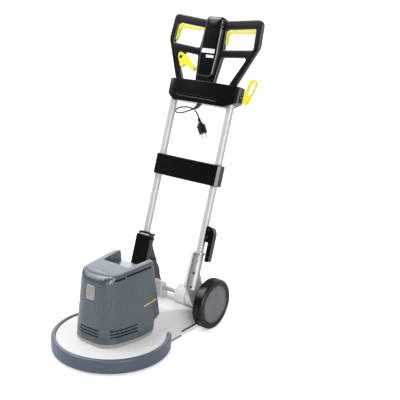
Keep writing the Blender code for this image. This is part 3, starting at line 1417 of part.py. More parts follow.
def make_tilt_lever(parent, axis):
    x, z = TILT_LEVER_X, TILT_LEVER_Z
    tip_x, tip_z = x + TILT_LEVER_REACH, z - TILT_LEVER_DROP
    outline = rounded([
        (x - 0.0165, z + 0.0165, 0.005),
        (x, z + 0.0175, 0.008),
        (x + 0.026, z + 0.006, 0.030),
        (tip_x + 0.004, tip_z + 0.012, 0.005),
        (tip_x, tip_z - 0.004, 0.004),
        (x + 0.046, z - 0.039, 0.030),
        (x + 0.026, z - 0.024, 0.012),
        (x + 0.015, z - 0.038, 0.005),
        (x + 0.0045, z - 0.038, 0.004),
        (x - 0.0135, z - 0.002, 0.006),
    ], 0.004, 2)
    bore = TILT_PIN_RADIUS + FIT_GAP
    angles = [2 * math.pi * i / 16 for i in range(16)]
    hole = [(x + bore * math.cos(a), z + bore * math.sin(a)) for a in angles]
    back = TILT_EAR_REAR - TILT_EAR_THICKNESS - RUN_GAP
    lever = plate("tilt_lever", [outline, hole], back - TILT_LEVER_THICKNESS, back, 'XZ')
    on_axis(lever, "yellow_plastic", axis)
    front = back - TILT_LEVER_THICKNESS - 0.001
    centre = (x, (front + TILT_EAR_REAR) / 2, z)
    pin = rod("tilt_lever_pin", 'Y', centre, TILT_PIN_RADIUS, TILT_EAR_REAR - front, 20)
    finish_part(pin, "steel", parent)


def make_cable_hook(parent, axis):
    near = CROSSHEAD_END + FIT_GAP
    centre = (near + HOOK_STUD_LENGTH / 2, HOOK_AXIS_Y, HOOK_AXIS_Z)
    stud = rod("hook_stud", 'X', centre, HOOK_STUD_RADIUS, HOOK_STUD_LENGTH, 20)
    finish_part(stud, "black_plastic", parent)
    base = near + HOOK_STUD_LENGTH + FIT_GAP
    foot = Vector((base + HOOK_FOOT_RADIUS, HOOK_AXIS_Z - HOOK_DROP + HOOK_FOOT_RADIUS))
    crest = Vector((base + HOOK_REACH, HOOK_AXIS_Z - HOOK_DROP + HOOK_RISE))
    climb = crest - foot
    lean = math.atan2(climb.y, climb.x)
    spread = math.pi / 2 + math.asin((HOOK_TOP_RADIUS - HOOK_FOOT_RADIUS) / climb.length)
    outline = arc(crest, HOOK_TOP_RADIUS, lean - spread, lean + spread, 8)
    outline += [(base, HOOK_AXIS_Z - HOOK_DROP + HOOK_SEAT)]
    outline += arc(foot, HOOK_FOOT_RADIUS, math.pi, 2 * math.pi + lean - spread, 5)
    eye = crest + Vector((0.0012, -0.003))
    heel = eye - climb.normalized() * HOOK_EYE_LENGTH
    slot = arc(eye, HOOK_EYE_RADIUS, lean - math.pi / 2, lean + math.pi / 2, 5)
    slot += arc(heel, HOOK_EYE_RADIUS, lean + math.pi / 2, lean + 1.5 * math.pi, 5)
    half = HOOK_THICKNESS / 2
    hook = plate("cable_hook", [outline, slot], HOOK_AXIS_Y - half, HOOK_AXIS_Y + half, 'XZ')
    on_axis(round_edges(hook, 0.003, 1, 50.0), "yellow_plastic", axis)


def gland_rings():
    """Rings of the bent strain relief, with the middle and the direction of its mouth."""
    centre = Vector((GLAND_X, GLAND_Y, CROSSHEAD_BOTTOM - FIT_GAP))
    ahead = Vector(GLAND_HEADING).normalized()
    aside = ahead.cross(UP)
    wide, slim = GLAND_RADII
    first, last = GLAND_BEND
    steps = 5
    rings = []
    for i in range(steps + 1):
        share = i / steps
        bend = first + (last - first) * share if i else 0.0
        aim = ahead * math.sin(bend) - UP * math.cos(bend)
        across = ahead * math.cos(bend) + UP * math.sin(bend)
        if i:
            centre = centre + aim * GLAND_LENGTH / steps
        radius = wide + (slim - wide) * share
        rings.append([centre + radius * (across * math.cos(a) + aside * math.sin(a))
                      for a in (2 * math.pi * k / 16 for k in range(16))])
    return rings, centre, aim


def make_lead(parent):
    """Strain relief under the crosshead, the hanging cord and its two-pin plug."""
    rings, mouth, aim = gland_rings()
    finish_part(loft("cord_gland", rings), "black_plastic", parent)
    bpy.context.view_layer.update()
    exit_point = parent.matrix_world @ (mouth + aim * CORD_EXIT_GAP)
    route = smooth_route([exit_point + Vector(step) for step in CORD_ROUTE], CORD_POINT_SPACING)
    curve = bpy.data.curves.new("mains_cord", 'CURVE')
    curve.dimensions = '3D'
    curve.bevel_depth = CORD_RADIUS
    curve.bevel_resolution = 2
    curve.use_fill_caps = True
    spline = curve.splines.new('POLY')
    spline.points.add(len(route) - 1)
    for point, place in zip(spline.points, route):
        point.co = (*place, 1.0)
    cord = bpy.data.objects.new("mains_cord", curve)
    PARTS.objects.link(cord)
    paint(cord, "black_plastic")
    make_plug(route[-1], (route[-1] - route[-2]).normalized())


def make_plug(end, direction):
    """Plug drawn hanging down from its cord, then turned to the cord's end."""
    neck, body, face = PLUG_NECK_RADIUS, PLUG_RADIUS, -PLUG_LENGTH
    plug = turned("mains_plug", [
        (0.0, 0.0),
        (neck * 0.8, 0.0),
        (neck, -0.014),
        (neck * 1.5, -0.018),
        (neck * 1.6, -0.024),
        (body * 0.85, -0.028),
        (body, -0.031),
        (body, face + 0.002),
        (body - 0.002, face),
        (0.0, face),
    ], 14)
    bm = bmesh.new()
    for side in (-1, 1):
        place = Matrix.Translation((side * PIN_SPACING / 2, 0.0, face - PIN_LENGTH / 2 + 0.002))
        bmesh.ops.create_cone(bm, cap_ends=True, segments=12, radius1=PIN_RADIUS, radius2=PIN_RADIUS,
                              depth=PIN_LENGTH + 0.004, matrix=place)
    pins = mesh_object("plug_pin_cutter", bm)
    cut(plug, pins, 'UNION')
    paint(plug, "black_plastic")
    turn = Vector((0.0, 0.0, -1.0)).rotation_difference(direction)
    for piece in (plug, pins):
        piece.rotation_mode = 'QUATERNION'
        piece.rotation_quaternion = turn
        piece.location = end + direction * FIT_GAP


def build():
    make_deck()
    make_bumper()
    make_plinth()
    make_cover()
    make_motor()
    make_neck()
    make_axle()
    make_drive(add_empty("pad_axis", (0.0, 0.0, 0.0)))
    for side, word in ((-1, "left"), (1, "right")):
        make_wheel(side, word, add_empty("wheel_axis_" + word, (side * WHEEL_X, AXLE_Y, AXLE_Z)))
    pivot = add_empty("handle_axis", (0.0, AXLE_Y, AXLE_Z), None, -HANDLE_TILT)
    handle = add_empty("tube_plane", (0.0, -HANDLE_OFFSET, 0.0), pivot)
    for side, word in ((-1, "left"), (1, "right")):
        make_pivot(side, word, handle)
        make_tube(side, word, handle)
        lever_axis = add_empty("switch_lever_axis_" + word, (0.0, FRAME_MID_Y, LEVER_AXIS_Z), handle)
        make_switch_lever(side, word, lever_axis)
    middle = make_lock(handle, add_empty("lock_plunger_axis", (0.0, 0.0, PLUNGER_BOTTOM), handle))
    make_quadrant(middle)
    make_low_hook(handle)
    make_brace(handle)
    make_crosshead(handle)
    make_frame(handle)
    make_column(handle, add_empty("safety_button_axis", (COLUMN_FACE_HALF, 0.0, BUTTON_Z), handle))
    make_tilt_lever(handle, add_empty("tilt_lever_axis", (TILT_LEVER_X, 0.0, TILT_LEVER_Z), handle))
    make_cable_hook(handle, add_empty("cable_hook_axis", (CROSSHEAD_END, HOOK_AXIS_Y, HOOK_AXIS_Z), handle))
    make_lead(handle)


clear_scene()
PARTS = new_collection("floor_burnisher")
CUTTERS = new_collection("cutters")
build()
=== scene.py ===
"""Looks of the floor burnisher: finishes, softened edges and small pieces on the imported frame.

Units are metres in the frame's own axes. Pieces of the handle are drawn in the plane of its two
tubes (X across, Z along the tubes, -Y to the front) and set in place by HANDLE.
"""
import json
import math

import bmesh
import bpy
from mathutils import Matrix, Vector
from mathutils.bvhtree import BVHTree

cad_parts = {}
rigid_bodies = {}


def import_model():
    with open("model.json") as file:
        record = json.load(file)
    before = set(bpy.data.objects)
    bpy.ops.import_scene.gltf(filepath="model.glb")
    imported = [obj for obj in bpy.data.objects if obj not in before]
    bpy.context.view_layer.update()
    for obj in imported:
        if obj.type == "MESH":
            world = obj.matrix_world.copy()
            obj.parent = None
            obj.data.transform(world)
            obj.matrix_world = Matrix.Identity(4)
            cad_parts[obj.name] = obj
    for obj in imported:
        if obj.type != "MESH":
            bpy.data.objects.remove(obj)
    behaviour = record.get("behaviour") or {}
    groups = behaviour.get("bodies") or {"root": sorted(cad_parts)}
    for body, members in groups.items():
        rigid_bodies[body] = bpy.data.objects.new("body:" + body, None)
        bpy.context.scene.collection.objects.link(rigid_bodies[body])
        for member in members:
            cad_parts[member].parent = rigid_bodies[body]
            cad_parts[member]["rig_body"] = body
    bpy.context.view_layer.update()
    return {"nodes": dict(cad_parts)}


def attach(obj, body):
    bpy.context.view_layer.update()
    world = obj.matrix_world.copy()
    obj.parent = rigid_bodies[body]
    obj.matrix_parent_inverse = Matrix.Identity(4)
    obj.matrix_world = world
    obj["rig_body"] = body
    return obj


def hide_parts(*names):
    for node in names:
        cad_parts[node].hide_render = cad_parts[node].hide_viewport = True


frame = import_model()
NODES = frame["nodes"]
MM = 0.001
BASE = Matrix.Identity(4)
UP = Vector((0.0, 0.0, 1.0))
ACROSS = Vector((1.0, 0.0, 0.0))
TO_REAR = Vector((0.0, 1.0, 0.0))
SIDES = ((-1, "left"), (1, "right"))

# Camera: place, turn, dip and roll, and its focal length as a share of the picture's width
CAMERA_PLACE = Vector((1.731873, -1.883850, 1.339593))
CAMERA_TURN = math.radians(35.742)
CAMERA_DIP = math.radians(16.654)
CAMERA_ROLL = math.radians(2.267)
CAMERA_SENSOR = 36.0
CAMERA_FOCAL_SHARE = 761.1 / 400.0

# Studio: room light by height, the backdrop that gloss mirrors by depth, lamps (place, aim, size, power)
ROOM_RANGE = (-0.2, 1.0)
ROOM_LIGHT = (0.46, 0.98)
ROOM_TINT = (0.95, 0.97, 1.0, 1.0)
BACKDROP_RANGE = (0.1, 0.80)
BACKDROP_LIGHT = (0.08, 1.3)
BACKDROP_TINT = (0.93, 0.96, 1.0, 1.0)
PLAIN_WHITE = (1.0, 1.0, 1.0, 1.0)
LAMPS = {
    "overhead": ((-1.0, -0.5, 2.9), (0.0, 0.1, 0.4), 1.8, 38.0),
    "left_side": ((-3.0, 0.6, 1.8), (0.0, 0.3, 0.6), 1.2, 9.0),
}
FLOOR_HALF = 60.0
FLOOR_GLOW = 0.56

# White cards in the gloss: direction, cosines at the soft and the full edge, strength
REFLECTOR_CARDS = (
    ((-0.50, -0.28, 0.82), 0.78, 0.95, 4.0),
    ((0.85, -0.48, 0.17), 0.88, 0.95, 8.0),
    ((-0.56, 0.777, 0.287), 0.84, 0.97, 1.6),
)

# Axle, and the plane of the handle's tubes through it
AXLE = Vector((0.0, 0.376, 0.100))
HANDLE_TILT = math.radians(16.76)
HANDLE_OFFSET = 0.090
HANDLE = (Matrix.Translation(AXLE) @ Matrix.Rotation(-HANDLE_TILT, 4, 'X')
          @ Matrix.Translation((0.0, -HANDLE_OFFSET, 0.0)))
TUBE_X = 0.1356

# Mains lead
CORD_EXIT = Vector((-0.0019, 0.46730, 0.83596))
CORD_RADIUS = 0.0030
CORD_ROUTE = (
    (0.0000, 0.0000, 0.0000),
    (-0.0036, -0.0139, -0.0041),
    (-0.0076, -0.0306, -0.0077),
    (-0.0169, -0.0440, -0.0125),
    (-0.0318, -0.0510, -0.0164),
    (-0.0482, -0.0498, -0.0173),
    (-0.0628, -0.0401, -0.0149),
    (-0.0702, -0.0244, -0.0102),
    (-0.0678, -0.0069, -0.0057),
    (-0.0561, 0.0074, -0.0036),
    (-0.0393, 0.0138, -0.0036),
    (-0.0215, 0.0131, -0.0059),
    (-0.0052, 0.0100, -0.0127),
    (0.0083, 0.0068, -0.0232),
    (0.0170, 0.0048, -0.0382),
)

# Strain relief where the lead leaves the crosshead, in the handle's plane; it bends on from 15 degrees by 42
GLAND_FOOT = Vector((0.004, -0.018, 0.7517))
GLAND_LEAN = Vector((-0.33, -0.94, 0.0)).normalized()
GLAND_SECTIONS = 5
GLAND_LENGTH = 0.027
GLAND_RADIUS = 0.009
GLAND_TAPER = 0.0042
GLAND_BEND = (15.0, 42.0)
RIB_RADIUS = 0.0009
RIB_PROUD = 0.0007
LAST_RIB_BACK = 0.0014

# Plug, hanging down from the end of its lead: flange as (radius, height), ribs, flat sides and pins
PLUG_FLANGE = ((0.0080, -0.0165), (0.0104, -0.0200), (0.0108, -0.0255), (0.0160, -0.0272),
               (0.0178, -0.0286), (0.0178, -0.0312), (0.0164, -0.0322))
PLUG_RIBS = 5
PLUG_FLAT = 0.0140
PLUG_FACE = 0.064
PIN_RADIUS = 0.0024
PIN_LENGTH = 0.019
PIN_SPACING = 0.019

# Deck, bumper and wheels
DECK_RADIUS = 0.204
DECK_TOP = 0.0576
BUMPER_BORE = 0.2046
BUMPER_RADIUS = 0.2200
BUMPER_TOP = 0.0596
BUMPER_BOTTOM = 0.008
BUMPER_OPENING = math.radians(56.0)
WHEEL_X = 0.1795
WHEEL_RADIUS = 0.100
TREAD_ROWS = 9
TREAD_STEPS = 88
TREAD_DEPTH = 0.0030
TREAD_HALF = 0.0145

# Wheel sections as (radius, distance outward from the wheel's middle)
TYRE_WALL = ((0.0763, 0.0225), (0.0800, 0.0225), (0.0810, 0.0216), (0.0846, 0.0216), (0.0856, 0.0225),
             (0.0905, 0.0225), (0.0946, 0.0213), (0.0974, 0.0190), (0.0990, 0.0160))
RIM_SECTION = ((0.0760, 0.0200), (0.0760, -0.0200), (0.0755, -0.0205), (0.0700, -0.0205), (0.0695, -0.0200),
               (0.0637, -0.0008), (0.0625, -0.0005), (0.0246, -0.0005), (0.0240, -0.0010), (0.0222, -0.0200),
               (0.0215, -0.0205), (0.0103, -0.0205), (0.0103, 0.0165), (0.0735, 0.0165), (0.0735, 0.0200),
               (0.0740, 0.0205), (0.0755, 0.0205))
CAP_SECTION = ((0.0730, 0.0168), (0.0732, 0.0172), (0.0732, 0.0186), (0.0722, 0.0198), (0.0705, 0.0203),
               (0.0672, 0.0205), (0.0664, 0.0203), (0.0656, 0.0192), (0.0640, 0.0189), (0.0630, 0.0192),
               (0.0618, 0.0203), (0.0600, 0.0205), (0.0300, 0.0207), (0.0020, 0.0208))
CAP_SCREW_X = 0.010

# Motor cover: front corner, flank and rear corner in plan at its foot and at its top, how the front
# corners grow rounder over a span of degrees from straight ahead, and the hood between its fins
COVER_LEVELS = (0.0719, 0.3176)
COVER_PLAN_LOW = ((0.066, -0.116), (0.122, 0.040), (0.100, 0.164))
COVER_PLAN_HIGH = ((0.062, -0.100), (0.083, 0.022), (0.092, 0.127))
COVER_FRONT_RADII = (0.034, 0.074)
COVER_FLANK_RADIUS = 0.500
COVER_REAR_RADIUS = 0.022
COVER_FRONT_SPREAD = 0.014
COVER_MIDDLE = 0.024
COVER_CORNER_STEP = 3
COVER_CORNER_END = 99
COVER_WIDEN = 1.055
COVER_FORWARD = 1.045
COVER_REAR_LIFT = 0.006
HOOD_FRONT = -0.066
HOOD_REAR = 0.022
HOOD_EDGE = 0.004
HOOD_HALF = 0.0600
HOOD_FLARE = 0.10
HOOD_FALL = 0.22
HOOD_FIN_REACH = 0.004
HOOD_PROUD = 0.00015
HOOD_KEEL = 0.002

# Trim of the cover: badge plate (width, height, thickness, corner) and its place, and the flank stripes
BADGE_SIZE = (0.039, 0.052, 0.0028, 0.007)
BADGE_PLACE = (0.0005, -0.4, 0.2545)
STRIPE_START = 0.052
STRIPE_LENGTH = 0.075
STRIPE_HEIGHT = 0.1768
STRIPE_CLIMB = 0.04
STRIPE_HALF = 0.0018
STRIPE_THICK = 0.0006

# Controls on the handle, in its plane: tilt lever's pin, safety button, cable hook's foot
TILT_PIN = Vector((-0.1410, 0.0, 0.9270))
BUTTON_Y = -0.0211
BUTTON_Z = 1.0550
HOOK_FOOT = Vector((0.1766, 0.0100, 0.7900))
HOOK_LEAN = Matrix.Rotation(math.radians(7.0), 4, 'Y') @ Matrix.Diagonal((1.04, 1.0, 1.0, 1.0))
TILT_LEVER_SCALE = Matrix.Diagonal((1.04, 1.0, 1.04, 1.0))

# Front half of the handle frame: right half of its outline and its right window as (x, z, corner radius)
FRAME_HALF = [
    (0.0450, 0.8365, 0.001), (0.0570, 0.9398, 0.008), (0.1699, 0.9494, 0.008), (0.1110, 0.8365, 0.001),
    (0.1412, 0.8365, 0.001), (0.2130, 0.9925, 0.050), (0.2070, 1.0975, 0.020), (0.0100, 1.0785, 0.010)]
FRAME_WINDOW = [
    (0.0510, 1.0484, 0.006), (0.1829, 1.0612, 0.006), (0.1880, 0.9809, 0.006), (0.0570, 0.9693, 0.006)]
FRAME_DEPTH = 0.013
FRAME_EDGE = 0.0042

# Column's front cover: foot and head, seat, depth, edge radius and how much shallower its foot is
COLUMN_LOW = 0.853
COLUMN_HIGH = 1.094
COLUMN_HALF = [(0.0350, COLUMN_LOW, 0.018), (0.0430, COLUMN_LOW + 0.10, 0.10), (0.0410, COLUMN_HIGH, 0.013)]
COLUMN_WIDEST = 0.042
COLUMN_SEAT = -0.0133
COLUMN_DEPTH = 0.0200
COLUMN_EDGE = 0.0130
COLUMN_DRAFT = 0.0010
COLUMN_LEAN = 0.35
COLUMN_CROWN = ((0.0210, 0.0008), (0.0300, 0.0014), (0.0380, 0.0017))

# Switch levers as (x from the middle, z, corner radius): the bow with the leg in view, and the slim leg
LEVERS = {
    "left": (-1, [(0.0516, 1.0454, 0.003), (0.1827, 1.0582, 0.009), (0.1869, 0.9915, 0.002),
                  (0.1806, 0.9915, 0.002), (0.1730, 1.0415, 0.010), (0.0518, 1.0385, 0.003)],
             [(0.0518, 1.0430, 0.001), (0.0566, 1.0430, 0.001), (0.0607, 0.9915, 0.001),
              (0.0557, 0.9915, 0.001)]),
    "right": (1, [(0.0516, 1.0454, 0.009), (0.1827, 1.0582, 0.004), (0.1832, 1.0455, 0.003),
                  (0.0606, 1.0366, 0.010), (0.0620, 0.9915, 0.002), (0.0557, 0.9915, 0.002)],
              [(0.1777, 1.0500, 0.001), (0.1830, 1.0500, 0.001), (0.1869, 0.9915, 0.001),
               (0.1819, 0.9915, 0.001)]),
}

# Dressing of the solids
WELD = 0.00002
FLAT_ANGLE = math.radians(0.5)
EDGE_ANGLE = math.radians(34.0)
SMOOTH_ANGLE = math.radians(50.0)
SCREW_ANGLE = math.radians(40.0)
TREAD_ANGLE = math.radians(22.0)
SUNK = 0.0004
FIT_GAP = 0.0003


# Camera, light and floor

def make_camera():
    """Camera that looks over the machine's front right corner."""
    turn, dip, roll = CAMERA_TURN, CAMERA_DIP, CAMERA_ROLL
    ahead = Vector((-math.sin(turn) * math.cos(dip), math.cos(turn) * math.cos(dip), -math.sin(dip)))
    level = Vector((math.cos(turn), math.sin(turn), 0.0))
    upright = level.cross(ahead)
    right = level * math.cos(roll) + upright * math.sin(roll)
    up = upright * math.cos(roll) - level * math.sin(roll)
    lens = bpy.data.cameras.new("camera")
    lens.sensor_width = CAMERA_SENSOR
    lens.lens = CAMERA_SENSOR * CAMERA_FOCAL_SHARE
    camera = bpy.data.objects.new("camera", lens)
    camera.matrix_world = Matrix((
        (right.x, up.x, -ahead.x, CAMERA_PLACE.x),
        (right.y, up.y, -ahead.y, CAMERA_PLACE.y),
        (right.z, up.z, -ahead.z, CAMERA_PLACE.z),
        (0.0, 0.0, 0.0, 1.0)))
    bpy.context.scene.collection.objects.link(camera)
    bpy.context.scene.camera = camera


def area_light(name, place, aim, size, power):
    light = bpy.data.lights.new(name, 'AREA')
    light.shape = 'DISK'
    light.size = size
    light.energy = power
    lamp = bpy.data.objects.new(name, light)
    lamp.location = place
    lamp.rotation_euler = (Vector(aim) - Vector(place)).to_track_quat('-Z', 'Y').to_euler()
    bpy.context.scene.collection.objects.link(lamp)


def make_studio():
    """White backdrop, a darker room and white cards that gloss mirrors, and two soft lamps."""
    scene = bpy.context.scene
    scene.view_settings.view_transform = 'Standard'
    world = bpy.data.worlds.new("studio")
    scene.world = world
    world.use_nodes = True
    tree = world.node_tree
    tree.nodes.clear()
    rays = add(tree, "ShaderNodeLightPath")
    toward = add(tree, "ShaderNodeTexCoord").outputs["Generated"]
    split = add(tree, "ShaderNodeSeparateXYZ", {0: toward})
    rise = add(tree, "ShaderNodeMapRange", {
        "Value": split.outputs["Z"], "From Min": ROOM_RANGE[0], "From Max": ROOM_RANGE[1],
        "To Min": ROOM_LIGHT[0], "To Max": ROOM_LIGHT[1]})
    shade = add(tree, "ShaderNodeBackground", {"Color": ROOM_TINT, "Strength": rise.outputs[0]})
    backdrop = add(tree, "ShaderNodeMapRange", {
        "Value": split.outputs["Y"], "From Min": BACKDROP_RANGE[0], "From Max": BACKDROP_RANGE[1],
        "To Min": BACKDROP_LIGHT[0], "To Max": BACKDROP_LIGHT[1]})
    mirrored = backdrop.outputs[0]
    for aim, soft_edge, full_edge, strength in REFLECTOR_CARDS:
        facing = add(tree, "ShaderNodeVectorMath", {0: toward, 1: Vector(aim).normalized()},
                     operation='DOT_PRODUCT')
        card = add(tree, "ShaderNodeMapRange", {
            "Value": facing.outputs["Value"], "From Min": soft_edge, "From Max": full_edge,
            "To Max": strength}, interpolation_type='SMOOTHSTEP')
        both = add(tree, "ShaderNodeMath", {0: mirrored, 1: card.outputs[0]}, operation='ADD')
        mirrored = both.outputs[0]
    glint = add(tree, "ShaderNodeBackground", {"Color": BACKDROP_TINT, "Strength": mirrored})
    white = add(tree, "ShaderNodeBackground", {"Color": PLAIN_WHITE, "Strength": 1.0})
    unseen = add(tree, "ShaderNodeMixShader", {
        0: rays.outputs["Is Glossy Ray"], 1: shade.outputs[0], 2: glint.outputs[0]})
    seen = add(tree, "ShaderNodeMixShader", {
        0: rays.outputs["Is Camera Ray"], 1: unseen.outputs[0], 2: white.outputs[0]})
    add(tree, "ShaderNodeOutputWorld", {"Surface": seen.outputs[0]})
    for name, (place, aim, size, power) in LAMPS.items():
        area_light(name, place, aim, size, power)

    floor = bmesh.new()
    bmesh.ops.create_grid(floor, x_segments=2, y_segments=2, size=FLOOR_HALF)
    mesh = bpy.data.meshes.new("floor")
    floor.to_mesh(mesh)
    floor.free()
    plane = bpy.data.objects.new("floor", mesh)
    scene.collection.objects.link(plane)
    mesh.materials.append(floor_finish())


# Finishes

def linear(code):
    """Linear colour of an sRGB hex code."""
    values = []
    for i in (1, 3, 5):
        c = int(code[i:i + 2], 16) / 255.0
        values.append(c / 12.92 if c <= 0.04045 else ((c + 0.055) / 1.055) ** 2.4)
    return (*values, 1.0)


def add(tree, kind, inputs=None, **settings):
    """A shader node with its settings; an input takes a value or another node's socket."""
    node = tree.nodes.new(kind)
    for key, value in settings.items():
        setattr(node, key, value)
    for key, value in (inputs or {}).items():
        if isinstance(value, bpy.types.NodeSocket):
            tree.links.new(value, node.inputs[key])
        else:
            node.inputs[key].default_value = value
    return node


def finish_from(name, tree_maker, **sockets):
    """A material whose Principled sockets take plain values or the outputs that tree_maker returns."""
    material = bpy.data.materials.new(name)
    material.use_nodes = True
    tree = material.node_tree
    tree.nodes.clear()
    inputs = {key.replace("_", " "): value for key, value in sockets.items()}
    inputs.update(tree_maker(tree))
    shader = add(tree, "ShaderNodeBsdfPrincipled", inputs)
    add(tree, "ShaderNodeOutputMaterial", {"Surface": shader.outputs[0]})
    return material


def rubbed_edges(tree, place, shade, worn, rub):
    """Lays a worn colour over the softened edges, in broken patches about 9 mm wide."""
    edge = add(tree, "ShaderNodeAttribute", attribute_name="wear")
    chips = add(tree, "ShaderNodeTexNoise", {"Vector": place, "Scale": 1.0 / (9.0 * MM), "Detail": 4.0})
    broken = add(tree, "ShaderNodeMapRange", {
        "Value": chips.outputs["Fac"], "From Min": 0.42, "From Max": 0.62, "To Max": rub})
    rubbed = add(tree, "ShaderNodeMath", {0: edge.outputs["Fac"], 1: broken.outputs[0]},
                 operation='MULTIPLY')
    colour = add(tree, "ShaderNodeMix", {0: rubbed.outputs[0], 6: shade, 7: linear(worn)}, data_type='RGBA')
    return colour.outputs[2]


def moulded(main, deep, worn, rough, grain_mm, grain_depth_mm, rub=0.12, spread=0.03,
            stretch=(1.0, 1.0, 1.0)):
    """Moulded or sprayed surface: a faint cloud of two shades, surface grain and rubbed edges."""
    def nodes(tree):
        place = add(tree, "ShaderNodeTexCoord").outputs["Object"]
        drawn = add(tree, "ShaderNodeMapping", {"Vector": place, "Scale": stretch}).outputs[0]
        cloud = add(tree, "ShaderNodeTexNoise", {"Vector": drawn, "Scale": 1.0 / (60.0 * MM), "Detail": 4.0})
        share = add(tree, "ShaderNodeMapRange", {
            "Value": cloud.outputs["Fac"], "From Min": 0.35, "From Max": 0.65})
        shade = add(tree, "ShaderNodeMix", {0: share.outputs[0], 6: linear(main), 7: linear(deep)},
                    data_type='RGBA')
        smears = add(tree, "ShaderNodeTexNoise", {"Vector": drawn, "Scale": 1.0 / (25.0 * MM), "Detail": 5.0})
        gloss = add(tree, "ShaderNodeMapRange", {
            "Value": smears.outputs["Fac"], "From Min": 0.3, "From Max": 0.7,
            "To Min": rough - spread, "To Max": rough + spread})
        grain = add(tree, "ShaderNodeTexNoise", {
            "Vector": place, "Scale": 1.0 / (grain_mm * MM), "Detail": 2.0})
        relief = add(tree, "ShaderNodeBump", {
            "Height": grain.outputs["Fac"], "Distance": grain_depth_mm * MM})
        return {"Base Color": rubbed_edges(tree, place, shade.outputs[2], worn, rub),
                "Roughness": gloss.outputs[0], "Normal": relief.outputs[0]}
    return nodes


def plated(main, deep, rough, grain_mm, grain_depth_mm):
    """Bare or plated metal: cloudy tone and fine machining or blasting grain."""
    def nodes(tree):
        place = add(tree, "ShaderNodeTexCoord").outputs["Object"]
        cloud = add(tree, "ShaderNodeTexNoise", {"Vector": place, "Scale": 1.0 / (14.0 * MM), "Detail": 4.0})
        share = add(tree, "ShaderNodeMapRange", {
            "Value": cloud.outputs["Fac"], "From Min": 0.3, "From Max": 0.7})
        colour = add(tree, "ShaderNodeMix", {0: share.outputs[0], 6: linear(main), 7: linear(deep)},
                     data_type='RGBA')
        grain = add(tree, "ShaderNodeTexNoise", {
            "Vector": place, "Scale": 1.0 / (grain_mm * MM), "Detail": 4.0})
        gloss = add(tree, "ShaderNodeMapRange", {
            "Value": grain.outputs["Fac"], "From Min": 0.3, "From Max": 0.7,
            "To Min": rough - 0.08, "To Max": rough + 0.08})
        relief = add(tree, "ShaderNodeBump", {
            "Height": grain.outputs["Fac"], "Distance": grain_depth_mm * MM})
        return {"Base Color": colour.outputs[2], "Roughness": gloss.outputs[0], "Normal": relief.outputs[0]}
    return nodes


def drawn_tube(tree):
    """Draw lines run along the tube, 1.6 mm apart, in the handle's own direction."""
    place = add(tree, "ShaderNodeTexCoord").outputs["Object"]
    along = add(tree, "ShaderNodeMapping", {
        "Vector": place, "Rotation": (-HANDLE_TILT, 0.0, 0.0), "Scale": (1.0, 1.0, 25.0)},
        vector_type='TEXTURE')
    lines = add(tree, "ShaderNodeTexNoise", {
        "Vector": along.outputs[0], "Scale": 1.0 / (1.6 * MM), "Detail": 4.0})
    share = add(tree, "ShaderNodeMapRange", {"Value": lines.outputs["Fac"], "From Min": 0.3, "From Max": 0.7})
    shade = add(tree, "ShaderNodeMix", {0: share.outputs[0], 6: linear("#d2d2d1"), 7: linear("#cbcbca")},
                data_type='RGBA')
    gloss = add(tree, "ShaderNodeMapRange", {"Value": share.outputs[0], "To Min": 0.34, "To Max": 0.44})
    relief = add(tree, "ShaderNodeBump", {"Height": lines.outputs["Fac"], "Distance": 0.01 * MM})
    return {"Base Color": rubbed_edges(tree, place, shade.outputs[2], "#a3a5a6", 0.6),
            "Roughness": gloss.outputs[0], "Normal": relief.outputs[0]}


def felted(tree):
    """Strands about 1.3 mm apart in 7 mm tufts, flatter than they are wide; strands that stand higher are
    drawn paler, a painted highlight on their tops.
    """
    place = add(tree, "ShaderNodeTexCoord").outputs["Object"]
    flat = add(tree, "ShaderNodeMapping", {"Vector": place, "Scale": (1.0, 1.0, 2.5)})
    strands = add(tree, "ShaderNodeTexNoise", {
        "Vector": flat.outputs[0], "Scale": 1.0 / (1.3 * MM), "Detail": 6.0, "Roughness": 0.7})
    tufts = add(tree, "ShaderNodeTexNoise", {"Vector": place, "Scale": 1.0 / (7.0 * MM), "Detail": 4.0})
    # Painted highlight: the pale fibre colour goes where the strands stand highest
    strand_painted_highlight = add(tree, "ShaderNodeMapRange", {
        "Value": strands.outputs["Fac"], "From Min": 0.35, "From Max": 0.65})
    fibre = add(tree, "ShaderNodeMix", {0: strand_painted_highlight.outputs[0], 6: linear("#b6a58a"), 7: linear("#e2d5bd")},
                data_type='RGBA')
    dim = add(tree, "ShaderNodeMapRange", {
        "Value": tufts.outputs["Fac"], "From Min": 0.4, "From Max": 0.7, "To Max": 0.5})
    colour = add(tree, "ShaderNodeMix", {0: dim.outputs[0], 6: fibre.outputs[2], 7: linear("#93836c")},
                 data_type='RGBA')
    coarse = add(tree, "ShaderNodeBump", {
        "Height": tufts.outputs["Fac"], "Distance": 0.8 * MM, "Strength": 0.6})
    fine = add(tree, "ShaderNodeBump", {
        "Height": strands.outputs["Fac"], "Distance": 0.5 * MM, "Strength": 0.9, "Normal": coarse.outputs[0]})
    return {"Base Color": colour.outputs[2], "Normal": fine.outputs[0]}


def swept_floor(tree):
    """A faint unevenness of tone; lit from below for the camera alone, so that it reads as white."""
    place = add(tree, "ShaderNodeTexCoord").outputs["Object"]
    cloud = add(tree, "ShaderNodeTexNoise", {"Vector": place, "Scale": 1.0 / 0.9, "Detail": 2.0})
    colour = add(tree, "ShaderNodeMix", {
        0: cloud.outputs["Fac"], 6: linear("#f3f3f3"), 7: linear("#f6f6f6")}, data_type='RGBA')
    seen = add(tree, "ShaderNodeLightPath")
    glow = add(tree, "ShaderNodeMath", {0: seen.outputs["Is Camera Ray"], 1: FLOOR_GLOW},
               operation='MULTIPLY')
    return {"Base Color": colour.outputs[2], "Emission Strength": glow.outputs[0]}


def floor_finish():
    return finish_from("studio_floor_matt", swept_floor, Roughness=0.85, Specular_IOR_Level=0.05,
                       Emission_Color=PLAIN_WHITE)


